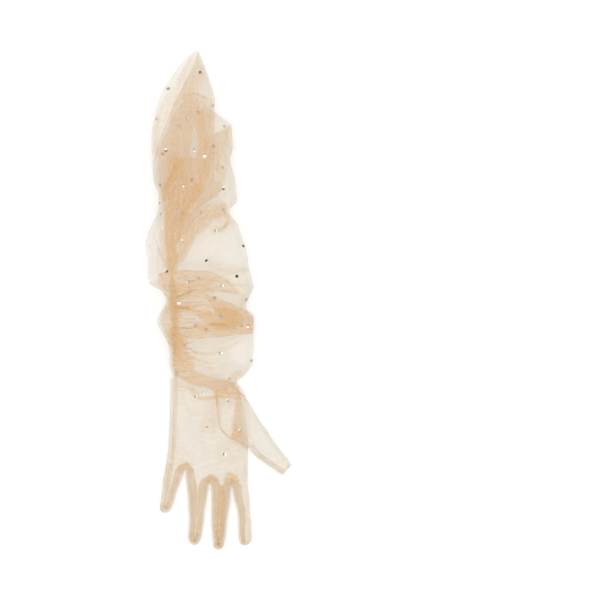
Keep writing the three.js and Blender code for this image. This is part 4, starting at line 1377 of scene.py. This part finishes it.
def crystal_material(settings, key):
    """One of the ways that the cut crystal catches the light, painted into its colour and its glow."""
    name = f"crystal_{key}"
    made = bpy.data.materials.get(name)
    if made:
        return made
    look = CRYSTAL_LOOKS[key]
    made = bpy.data.materials.new(name)
    made.use_nodes = True
    tree = made.node_tree
    cut = {
        "Dark Facet": (*look.dark, 1),
        "Silver": (*look.silver, 1),
        "Bright Facet": (*look.bright, 1),
        "Brightness": look.brightness,
        "Glints per Metre": 1 / settings.glint_size,
        "Stones per Metre": 1 / settings.spacing,
    }
    facets = add_node(tree, "ShaderNodeGroup", cut, node_tree=painted_facet_reflections_group()).outputs
    # The bright facets glow by the look's strength: painted glints.
    finish = {
        "Metallic": look.metallic,
        "Roughness": look.roughness,
        "Coat Weight": settings.polish,
        "Coat Roughness": 0.03,
        "Emission Strength": look.glow,
        "Base Color": facets["Color"],
        "Emission Color": facets["Glow"],
    }
    fill(tree, tree.nodes["Principled BSDF"], finish)
    return made


class NetSettings(bpy.types.PropertyGroup):
    """Colour and sheerness of the tulle."""

    # Thin net's colour, a painted light tone set for the floor's light through it.
    painted_light_tone: bpy.props.FloatVectorProperty(
        name="Light Tone",
        description="Colour of thin net",
        subtype="COLOR",
        default=(0.643, 0.50, 0.262),
        min=0,
        max=1,
    )
    # Crowded net's warmer, deeper colour, a painted shade tone for the net over it.
    painted_shade_tone: bpy.props.FloatVectorProperty(
        name="Deep Tone",
        description="Colour of gathered net",
        subtype="COLOR",
        default=(0.786, 0.505, 0.225),
        min=0,
        max=1,
    )
    cover: bpy.props.FloatProperty(
        name="Cover",
        description="Share of the view that one flat layer covers",
        subtype="FACTOR",
        default=0.13,
        min=0,
        max=1,
    )
    mesh_size: bpy.props.FloatProperty(
        name="Mesh Size", description="Width of a mesh of the net", default=0.0009, min=0.0002, unit="LENGTH"
    )
    roughness: bpy.props.FloatProperty(
        name="Roughness", description="Roughness of the threads", default=0.8, min=0, max=1
    )
    sheen: bpy.props.FloatProperty(
        name="Sheen", description="Soft gloss of the threads", default=0.15, min=0, max=1
    )


class StoneSettings(bpy.types.PropertyGroup):
    """Looks and size of the rhinestones."""

    polish: bpy.props.FloatProperty(
        name="Polish", description="Clear gloss over the facets", default=0.5, min=0, max=1, subtype="FACTOR"
    )
    glint_size: bpy.props.FloatProperty(
        name="Glint Size", description="Width of one glint", default=0.0016, min=0.0001, unit="LENGTH"
    )
    # The stones' painted reflections lean one way within each cell of this size.
    spacing: bpy.props.FloatProperty(
        name="Spacing",
        description="Distance over which stones face another light",
        default=0.013,
        min=0.001,
        unit="LENGTH",
    )
    radius: bpy.props.FloatProperty(
        name="Radius", description="Radius of a stone", default=0.0019, min=0.0001, unit="LENGTH"
    )
    height: bpy.props.FloatProperty(
        name="Height", description="Height of a stone", default=0.0015, min=0.0001, unit="LENGTH"
    )


class StageSettings(bpy.types.PropertyGroup):
    """Floor, light and camera."""

    lamp_power: bpy.props.FloatProperty(
        name="Lamp Power", description="Power of each soft lamp", default=14.5, min=0, unit="POWER"
    )
    horizon: bpy.props.FloatProperty(
        name="Horizon", description="Brightness of the room at the horizon", default=0.77, min=0
    )
    zenith: bpy.props.FloatProperty(
        name="Zenith", description="Brightness of the room overhead", default=0.13, min=0
    )
    view_width: bpy.props.FloatProperty(
        name="View Width", description="Width of the view", default=0.687, min=0.01, unit="LENGTH"
    )
    view_centre: bpy.props.FloatProperty(
        name="View Centre", description="Place of the view's middle along X", default=0.0937, unit="LENGTH"
    )
    lens: bpy.props.FloatProperty(
        name="Lens", description="Focal length of the camera in millimetres", default=400.0, min=10
    )


class GloveSettings(bpy.types.PropertyGroup):
    """All that a user would change."""

    net: bpy.props.PointerProperty(name="Net", description="The tulle", type=NetSettings)
    stones: bpy.props.PointerProperty(name="Stones", description="The rhinestones", type=StoneSettings)
    stage: bpy.props.PointerProperty(name="Stage", description="Floor, light and camera", type=StageSettings)


BODY = Body()
SLACK = Noise(11, along=90, across=34, turn=0.2)
FINE_SLACK = Noise(5, along=40, across=11, turn=0.1)
STREAKS_ALONG = Noise(31, along=160, across=5, turn=math.pi / 2)
STREAKS_ACROSS = Noise(37, along=120, across=4, turn=0.05)


def share_grid(rows, columns):
    """Shares across and along a sheet, from 0 to 1, at each corner of its grid."""
    return np.meshgrid(np.linspace(0, 1, columns), np.linspace(0, 1, rows))


def gather_creases():
    """Short creases that fan out from the gathered seam, shorter and finer than the pleats."""
    draw = np.random.RandomState(CREASE_SEED)
    made = []
    for k in range(CREASE_COUNT):
        y = -92 + 5.0 * k + draw.uniform(-1.5, 1.5)
        reach = draw.uniform(12, 34)
        rise = draw.uniform(-7, 7) + (6 if y < -50 else 0)
        start = (-46 + draw.uniform(-2, 2), y)
        bend = (start[0] + 0.5 * reach, y + 0.35 * rise)
        end = (start[0] + reach, y + rise)
        width, pull = draw.uniform(2.4, 3.6), draw.uniform(1.1, 1.7)
        made.append(fold(f"crease_{k}", start, bend, end, width=width, pull=pull, depth=1.0))
        if k % 2 == 0:
            far = (start[0] - 0.4 * reach, y + 0.5 * rise)
            middle = (start[0] - 0.2 * reach, y + 0.1 * rise)
            made.append(fold(f"crease_left_{k}", start, middle, far, width=width, pull=pull, depth=1.0))
    return tuple(made)


def lower_height(x, y):
    """Height of the lower layer, slack over the table and raised over the stones that it lies on."""
    slack = 1.1 * (1 + SLACK.at(x + 40, y - 25)) * 0.5
    z = SKIN + slack + 0.5 * (1 + FINE_SLACK.at(x - 15, y))
    for sx, sy in BACK_STONES:
        near = 1 - ease(2.2, 7, np.hypot(x - sx, y - sy))
        z = np.where(near > 0, z + near * np.maximum(OVER_BACK_STONE - z, 0), z)
    return z


def under_sleeve(x, y):
    """Height of the sleeve's lower layer before its pleats, rising to the rim at both sides."""
    low = lower_height(x, y)
    return low + (BODY.rim(y) - low) * (1 - ease(0, SIDE_RISE, BODY.inward(x, y)))


def upper_sleeve(x, y, deep, hem, left, right):
    """Height of the sleeve's upper layer, round at its sides and free along the mouth's hem."""
    wave = SLACK_RISE * SLACK.at(x, y) + FINE_RISE * FINE_SLACK.at(x, y)
    over = BODY.upper(x, y) + wave * BODY.stone_free(x, y) - deep
    free = ease(0, HEM_FREE, hem - left)
    raised = np.minimum(ease(0, SIDE_ROUND, x - hem) + free, 1) * ease(0, SIDE_ROUND, right - x)
    return BODY.rim(y) + (np.maximum(over, LEAST_UPPER) - BODY.rim(y)) * raised


def make_sleeve(scene):
    """The sleeve's two layers, joined down both sides below the mouth, pleated all along."""
    folds = SLEEVE_FOLDS + gather_creases()
    places, faces, first = [], [], 0
    for columns, upper in ((UPPER_COLUMNS, True), (LOWER_COLUMNS, False)):
        t, v = share_grid(SLEEVE_ROWS, columns)
        foot = hem_line(WRIST_EDGE, WRIST_LEFT + WRIST_WIDTH * t, "x")
        y = foot + (SLEEVE_TIP - foot) * v
        left, right = BODY.left(y), BODY.right(y)
        if upper:
            left = np.maximum(left, hem_line(MOUTH_HEM, y, "y"))
        x = left + (right - left) * t
        edge = np.minimum(x - left, right - x)
        share = np.ones(x.shape) if upper else np.exp(-((edge / LOWER_PLEAT_REACH) ** 2))
        x, y, deep = pleat(x, y, folds, share)
        y = np.clip(y, foot, SLEEVE_TIP + 0.2)
        left, right = BODY.left(y), BODY.right(y)
        hem = np.maximum(left, hem_line(MOUTH_HEM, y, "y")) if upper else left
        x = np.clip(x, hem, right)
        x[:, 0], x[:, -1] = hem[:, 0], right[:, -1]
        if upper:
            z = upper_sleeve(x, y, deep, hem, left, right)
        else:
            raised = ease(0, SIDE_RISE, np.minimum(x - left, right - x))
            z = under_sleeve(x, y) + LOWER_PLEAT_LIFT * deep * raised
        places.append(np.stack([x, y, z], -1).reshape(-1, 3))
        faces.append(grid_faces(SLEEVE_ROWS, columns, first, flip=not upper))
        first += x.size
    places = np.vstack(places)
    density = net_count_at(places[:, 0], places[:, 1], "sleeve")
    material = net_material("tulle_net", scene.glove.net)
    make_piece("sleeve_tulle", places, np.vstack(faces), material, density, nodes=("sleeve",))


def make_inner_layers(scene):
    """The two layers that are drawn up inside the sleeve, under its crown line."""
    places, faces = [], []
    for n, (level, pull) in enumerate(INNER_LEVELS):
        t, v = share_grid(INNER_ROWS, INNER_COLUMNS)
        crown = hem_line(INNER_CROWN, INNER_LEFT + INNER_WIDTH * t, "x")
        y = INNER_FOOT + (crown - INNER_FOOT) * v
        left, right = (field_along(INNER_SIDES, side, y) for side in ("left", "right"))
        x = left + (right - left) * t
        x, y, deep = pleat(x, y, INNER_FOLDS, np.full(x.shape, pull))
        y = np.clip(y, INNER_FOOT, crown)
        left, right = (field_along(INNER_SIDES, side, y) for side in ("left", "right"))
        left = np.maximum(left, hem_line(MOUTH_HEM, y, "y") + INNER_HEM_GAP)
        x = np.clip(x, left, right)
        x[:, 0], x[:, -1] = left[:, 0], right[:, -1]
        high = BODY.top.at(x, y)
        middle = 0.5 * high
        raised = ease(0, INNER_ROUND, np.minimum(x - left, right - x))
        z = middle + (level * high - middle) * raised - deep * (0.5 if n else 1)
        places.append(np.stack([x, y, np.maximum(z, LEAST_INNER)], -1).reshape(-1, 3))
        faces.append(grid_faces(INNER_ROWS, INNER_COLUMNS, n * x.size, flip=n > 0))
    places = np.vstack(places)
    x, y = places[:, 0], places[:, 1]
    density = np.maximum(LEAST_NET, inner_share(x, y) * (1 + STREAK_INNER * STREAKS_ALONG.at(x, y)))
    material = net_material("tulle_net", scene.glove.net)
    make_piece("sleeve_inner_tulle", places, np.vstack(faces), material, density)


def sheet_in_outline(outline):
    """Triangulates a flat sheet inside an outline, with staggered rows of corners."""
    low, high = outline.min(0), outline.max(0)
    gx, gy = np.meshgrid(np.arange(low[0], high[0], SHEET_PITCH), np.arange(low[1], high[1], SHEET_PITCH))
    gx = gx + 0.5 * SHEET_PITCH * (np.arange(gx.shape[0]) % 2)[:, None]
    gx, gy = gx.ravel(), gy.ravel()
    closed = np.vstack([outline, outline[:1]])
    clear = np.abs(measure(closed, gx, gy)[0]) > 0.6 * SHEET_PITCH
    keep = inside_outline(outline, gx, gy) & clear
    inner = np.stack([gx[keep], gy[keep]], 1)
    points = [Vector(p) for p in np.vstack([outline, inner])]
    loop = list(range(len(outline)))
    places, _, faces, *_ = delaunay_2d_cdt(points, [], [loop], 1, 1e-5)
    return np.array([tuple(p) for p in places]), np.array(faces)


def make_outlined(scene, piece, nodes, side, upper_edge, lower_edge, crest, height):
    """Two layers that meet along a side line, each closed by its own edge and raised by a height function."""
    places, faces, count = [], [], 0
    rim = RIM_SHARE * crest
    for upper, edge in ((True, upper_edge), (False, lower_edge)):
        plan, triangles = sheet_in_outline(without_doubles(np.vstack([side, edge])))
        x, y = plan[:, 0], plan[:, 1]
        inward = np.abs(measure(side, x, y)[0])
        z = rim + (height(x, y, upper) - rim) * ease(0, HAND_ROUND, inward)
        places.append(np.stack([x, y, z], 1))
        faces.append((triangles if upper else triangles[:, ::-1]) + count)
        count += len(x)
    places = np.vstack(places)
    density = net_count_at(places[:, 0], places[:, 1], piece)
    material = net_material("tulle_net", scene.glove.net)
    make_piece(f"{piece}_tulle", places, np.vstack(faces), material, density, nodes=nodes)


def palm_creases(x, y):
    """Faint creases of the palm."""
    lift = FINE_SLACK.at(x, y)
    for points in PALM_CREASES:
        across, along, _, _ = measure(spline(points), x, y)
        fade = np.sin(math.pi * np.clip(along, 0, 1))
        lift = lift + PALM_CREASE_LIFT * np.exp(-((across / PALM_CREASE_WIDTH) ** 2)) * fade
    return lift


def hand_height(x, y, upper):
    """Height of the hand's layers. The upper one dips under the sleeve's cuff."""
    if upper:
        return BODY.upper(x, y) + 0.3 * palm_creases(x, y) - ease(-112, -100, y)
    return lower_height(x, y)


def make_hand(scene):
    """Palm and back of the hand with the finger tubes."""
    side, seam, back = spline(HAND_SIDE, 4), spline(THUMB_SEAM_LINE), spline(HAND_BACK_EDGE, 4)
    make_outlined(scene, "hand", HAND_NODES, side, seam, back, HAND_CREST, hand_height)


def thumb_height(x, y, upper):
    """Height of the thumb's layers. The lower one is held up at its root, inside the hand."""
    high = BODY.upper(x, y)
    if upper:
        return high + 0.3 * FINE_SLACK.at(x, y)
    out = ease(28, 40, x)
    return 0.5 * high * (1 - out) + lower_height(x, y) * out


def make_thumb(scene):
    """The thumb piece: its upper layer from the U-shaped seam to the tip, and its narrower lower layer."""
    side, seam, under = spline(THUMB_EDGE, 5), spline(THUMB_SEAM_LINE)[::-1], spline(THUMB_UNDER_EDGE, 5)
    make_outlined(scene, "thumb", ("thumb",), side, seam, under, THUMB_CREST, thumb_height)


def make_band(scene, path, band):
    """A sewn allowance inside the glove: a crinkled band at one side of a path, wider at its middle."""
    path = resample(path, BAND_PITCH)
    ahead = np.gradient(path, axis=0)
    ahead = np.stack([smooth_line(ahead[:, k], np.ones(5) / 5) for k in (0, 1)], 1)
    ahead /= np.maximum(np.hypot(*ahead.T), 1e-9)[:, None]
    normal = np.stack([-ahead[:, 1], ahead[:, 0]], 1)
    draw = np.random.RandomState(band.seed)
    count = len(path)
    places, faces = [], []
    for layer in range(BAND_LAYERS):
        wobble = crinkle_line(draw.normal(0, 1, count), 3) * BAND_WOBBLE
        crinkle = crinkle_line(draw.normal(0, 1, count), 1.2) * BAND_RUFFLE
        for i, (p, n) in enumerate(zip(path, normal)):
            outer = band.far + band.root * math.sin(math.pi * i / (count - 1)) ** 3
            for k in range(BAND_COLUMNS):
                share = k / (BAND_COLUMNS - 1)
                reach = band.near + (outer - band.near) * share + wobble[i] * share
                wave = crinkle[i] * math.sin(math.pi * (0.3 + 0.7 * share))
                ripple = 0.4 * BAND_RUFFLE * math.sin(0.9 * i + 2.1 * layer) * share
                z = band.low + 0.9 * layer + wave + ripple
                places.append((p[0] + n[0] * reach, p[1] + n[1] * reach, max(z, LEAST_BAND)))
        faces.append(grid_faces(count, BAND_COLUMNS, layer * count * BAND_COLUMNS))
    nodes = (band.name,) if band.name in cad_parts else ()
    material = net_material("seam_net", scene.glove.net)
    density = np.full(len(places), band.density)
    make_piece(f"{band.name}_band", places, np.vstack(faces), material, density, "seam", nodes)


def make_seams(scene):
    """Seam allowances of the fingers, the hand's outer side and the thumb."""
    side, edge, line = spline(HAND_SIDE, 4), spline(THUMB_EDGE, 5), spline(THUMB_SEAM_LINE)
    tips = TIP_STARTS
    paths = {
        "seam_outer_side": stretch_between(side, HAND_SIDE[0], tips["little"]),
        "seam_little_ring": stretch_between(side, tips["little"], tips["ring"]),
        "seam_ring_middle": stretch_between(side, tips["ring"], tips["middle"]),
        "seam_middle_index": stretch_between(side, tips["middle"], tips["index"]),
        "seam_thumb": stretch_between(edge, THUMB_EDGE[0], THUMB_EDGE[3]),
        "seam_thumb_tip": stretch_between(edge, THUMB_EDGE[3], THUMB_EDGE[5]),
        "seam_thumb_set": line[line[:, 1] < THUMB_SET_TOP],
    }
    for band in BANDS:
        make_band(scene, paths[band.name], band)


def make_gathered_seam(scene):
    """The elastic seam that gathers the sleeve: a ruffled band of crowded net, narrower at its ends."""
    path = resample(spline(GATHERED_PATH), GATHERED_PITCH)
    count, columns = len(path), GATHERED_COLUMNS
    draw = np.random.RandomState(GATHERED_SEED)
    along = np.linspace(0, 1, count)
    taper = 0.25 + 0.75 * ease(0.05, 0.3, along) * ease(0, 0.2, 1 - along)
    width = (3.1 + 1.7 * crinkle_line(draw.normal(0, 1, count), 3)) * taper
    places, faces = [], []
    for layer in range(GATHERED_LAYERS):
        shift = crinkle_line(draw.normal(0, 1, count), 3) * 1.8
        ruffle = crinkle_line(draw.normal(0, 1, count), 1.0)
        for i, (x, y) in enumerate(path):
            fan = 5 * math.exp(-(((y + 70) / 12) ** 2))
            for k in range(columns):
                share = 2 * k / (columns - 1) - 1
                ripple = 1.1 * ruffle[i] * math.sin(3.1 * share + 0.7 * i)
                z = 3.6 + 2.2 * layer + ripple + 0.5 * math.sin(1.7 * i)
                across = shift[i] + share * width[i] + fan * max(share, 0)
                places.append((x + across, y + 0.7 * math.sin(4 * share + i), z))
        faces.append(grid_faces(count, columns, layer * count * columns))
    uneven = 0.75 + 0.45 * crinkle_line(draw.normal(0, 1, count), 1.5)
    sparse_start = 0.12 + 0.88 * ease(0.12, 0.4, along)
    density = np.repeat(np.tile(uneven * sparse_start, GATHERED_LAYERS), columns)
    material = net_material("seam_net", scene.glove.net)
    make_piece("seam_gathered_band", places, np.vstack(faces), material, density, "seam", ("seam_gathered",))


def under_stone(x, y, turn, radius, height):
    """Corners of a cut stone glued under the lower layer: its small table, and its girdle's two edges."""
    around = under_sleeve(np.array([x, x - 1, x + 1, x, x]), np.array([y, y, y, y - 1, y + 1]))
    foot = Vector((x, y, around[0]))
    up = Vector((around[1] - around[2], around[3] - around[4], 2)).normalized()
    side = up.orthogonal().normalized()
    ahead = up.cross(side)
    places = []
    for level, (r, depth) in enumerate(((0.5 * radius, height), (radius, 0.4), (radius, 0.0))):
        for k in range(STONE_SIDES):
            angle = 2 * math.pi * (k + 0.5 * (level == 0)) / STONE_SIDES + turn
            place = foot + r * (side * math.cos(angle) + ahead * math.sin(angle)) - up * (depth + 0.1)
            places.append(tuple(place))
    return places


def make_back_stones(scene):
    """The rhinestones under the lower layer, table down, joined by how they catch the light, which is painted
    into their facets.
    """
    settings = scene.glove.stones
    sides = range(STONE_SIDES)
    groups = (("back_stones", "back", DULL_BACK_STONES), ("pale_back_stones", "pale_back", PALE_BACK_STONES))
    for name, key, stones in groups:
        places, faces = [], []
        for n, (x, y) in enumerate(stones):
            first = len(places)
            places += under_stone(x, y, 0.7 * n, settings.radius / MM, settings.height / MM)
            for start in (first, first + STONE_SIDES):
                for k in sides:
                    a, b = start + k, start + (k + 1) % STONE_SIDES
                    faces.append((a, b, b + STONE_SIDES, a + STONE_SIDES))
            faces.append(tuple(first + k for k in reversed(sides)))
            faces.append(tuple(first + 2 * STONE_SIDES + k for k in sides))
        mesh = bpy.data.meshes.new(name)
        mesh.from_pydata((np.array(places) * MM).tolist(), [], faces)
        mesh.materials.append(crystal_material(settings, key))
        piece = bpy.data.objects.new(name, mesh)
        bpy.context.scene.collection.objects.link(piece)
        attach(piece, ROOT)


def dress_stones(scene):
    """Gives the frame's own stones their crystal, with its painted reflections and glints."""
    looks = {number: key for key, numbers in STONE_LOOKS.items() for number in numbers}
    for number, name in enumerate(STONE_NODES, 1):
        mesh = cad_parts[name].data
        mesh.materials.clear()
        mesh.materials.append(crystal_material(scene.glove.stones, looks.get(number, "dull")))


def make_floor(scene):
    """A pale matt floor, just under the glove, that glows a little to stay even."""
    half = FLOOR_HALF
    mesh = bpy.data.meshes.new("floor")
    corners = [(-half, -half, 0), (half, -half, 0), (half, half, 0), (-half, half, 0)]
    mesh.from_pydata(corners, [], [(0, 1, 2, 3)])
    pale = bpy.data.materials.new("pale_floor")
    pale.use_nodes = True
    finish = {
        "Base Color": (0.86, 0.86, 0.86, 1),
        "Roughness": 0.9,
        "Specular IOR Level": 0.0,
        "Emission Color": (1, 1, 1, 1),
        "Emission Strength": 0.214,
    }
    fill(pale.node_tree, pale.node_tree.nodes["Principled BSDF"], finish)
    mesh.materials.append(pale)
    floor = bpy.data.objects.new("floor", mesh)
    floor.location.z = FLOOR_DROP
    scene.collection.objects.link(floor)


def make_lamps(scene):
    """Four soft lamps round the glove, above it."""
    for k in range(4):
        turn = math.radians(45 + 90 * k)
        lamp = bpy.data.lights.new(f"soft_lamp_{k}", "AREA")
        lamp.shape = "SQUARE"
        lamp.size = LAMP_SIZE
        lamp.energy = scene.glove.stage.lamp_power
        holder = bpy.data.objects.new(f"soft_lamp_{k}", lamp)
        holder.location = (LAMP_OUT * math.cos(turn), LAMP_OUT * math.sin(turn), LAMP_UP)
        holder.rotation_euler = (-Vector(holder.location)).to_track_quat("-Z", "Y").to_euler()
        scene.collection.objects.link(holder)


def make_room(scene):
    """A plain white room, darker overhead."""
    settings = scene.glove.stage
    room = bpy.data.worlds.new("plain_room")
    room.use_nodes = True
    tree = room.node_tree
    direction = add_node(tree, "ShaderNodeTexCoord").outputs["Generated"]
    parts = add_node(tree, "ShaderNodeSeparateXYZ", {"Vector": direction}).outputs
    fade = {"To Min": settings.horizon, "To Max": settings.zenith, "Value": parts["Z"]}
    strength = add_node(tree, "ShaderNodeMapRange", fade).outputs["Result"]
    fill(tree, tree.nodes["Background"], {"Color": (1, 1, 1, 1), "Strength": strength})
    scene.world = room


def make_stage(scene):
    """Floor, lamps, room and the camera straight above."""
    settings = scene.glove.stage
    make_floor(scene)
    make_lamps(scene)
    make_room(scene)
    camera = bpy.data.objects.new("camera", bpy.data.cameras.new("camera"))
    camera.data.lens = settings.lens
    distance = settings.view_width * settings.lens / camera.data.sensor_width
    camera.location = (settings.view_centre, 0, distance)
    scene.collection.objects.link(camera)
    scene.camera = camera
    scene.view_settings.view_transform = "Standard"
    scene.cycles.transparent_max_bounces = 64


class GLOVE_OT_stage(bpy.types.Operator):
    """Make the floor, the lamps, the room and the camera"""

    bl_idname = "glove.stage"
    bl_label = "Stage"

    def execute(self, context):
        make_stage(context.scene)
        return {"FINISHED"}


class GLOVE_OT_sleeve(bpy.types.Operator):
    """Make the pleated sleeve"""

    bl_idname = "glove.sleeve"
    bl_label = "Sleeve"

    def execute(self, context):
        make_sleeve(context.scene)
        return {"FINISHED"}


class GLOVE_OT_inner_layers(bpy.types.Operator):
    """Make the layers that are drawn up inside the sleeve"""

    bl_idname = "glove.inner_layers"
    bl_label = "Inner Layers"

    def execute(self, context):
        make_inner_layers(context.scene)
        return {"FINISHED"}


class GLOVE_OT_hand(bpy.types.Operator):
    """Make the hand with its fingers"""

    bl_idname = "glove.hand"
    bl_label = "Hand"

    def execute(self, context):
        make_hand(context.scene)
        return {"FINISHED"}


class GLOVE_OT_thumb(bpy.types.Operator):
    """Make the set-in thumb"""

    bl_idname = "glove.thumb"
    bl_label = "Thumb"

    def execute(self, context):
        make_thumb(context.scene)
        return {"FINISHED"}


class GLOVE_OT_seams(bpy.types.Operator):
    """Make the sewn allowances of the fingers, the side and the thumb"""

    bl_idname = "glove.seams"
    bl_label = "Seams"

    def execute(self, context):
        make_seams(context.scene)
        return {"FINISHED"}


class GLOVE_OT_gathered_seam(bpy.types.Operator):
    """Make the elastic seam that gathers the sleeve"""

    bl_idname = "glove.gathered_seam"
    bl_label = "Gathered Seam"

    def execute(self, context):
        make_gathered_seam(context.scene)
        return {"FINISHED"}


class GLOVE_OT_stones(bpy.types.Operator):
    """Give the rhinestones their crystal, with painted reflections and glints"""

    bl_idname = "glove.stones"
    bl_label = "Stones"

    def execute(self, context):
        dress_stones(context.scene)
        return {"FINISHED"}


class GLOVE_OT_back_stones(bpy.types.Operator):
    """Make the rhinestones under the lower layer"""

    bl_idname = "glove.back_stones"
    bl_label = "Back Stones"

    def execute(self, context):
        make_back_stones(context.scene)
        return {"FINISHED"}


OPERATORS = (
    GLOVE_OT_stage,
    GLOVE_OT_sleeve,
    GLOVE_OT_inner_layers,
    GLOVE_OT_hand,
    GLOVE_OT_thumb,
    GLOVE_OT_seams,
    GLOVE_OT_gathered_seam,
    GLOVE_OT_stones,
    GLOVE_OT_back_stones,
)


class GLOVE_PT_panel(bpy.types.Panel):
    """Buttons for every piece."""

    bl_label = "Glove"
    bl_idname = "GLOVE_PT_panel"
    bl_space_type = "VIEW_3D"
    bl_region_type = "UI"
    bl_category = "Glove"

    def draw(self, context):
        """One button for each operator."""
        for made in OPERATORS:
            self.layout.operator(made.bl_idname)


CLASSES = (NetSettings, StoneSettings, StageSettings, GloveSettings, *OPERATORS, GLOVE_PT_panel)


def register():
    """Adds the settings, the operators and the panel."""
    for made in CLASSES:
        bpy.utils.register_class(made)
    bpy.types.Scene.glove = bpy.props.PointerProperty(type=GloveSettings)


def unregister():
    """Takes them away again."""
    del bpy.types.Scene.glove
    for made in reversed(CLASSES):
        bpy.utils.unregister_class(made)


def main():
    """Makes every piece in order."""
    register()
    for made in OPERATORS:
        group, name = made.bl_idname.split(".")
        getattr(getattr(bpy.ops, group), name)()


if __name__ == "__main__":
    main()
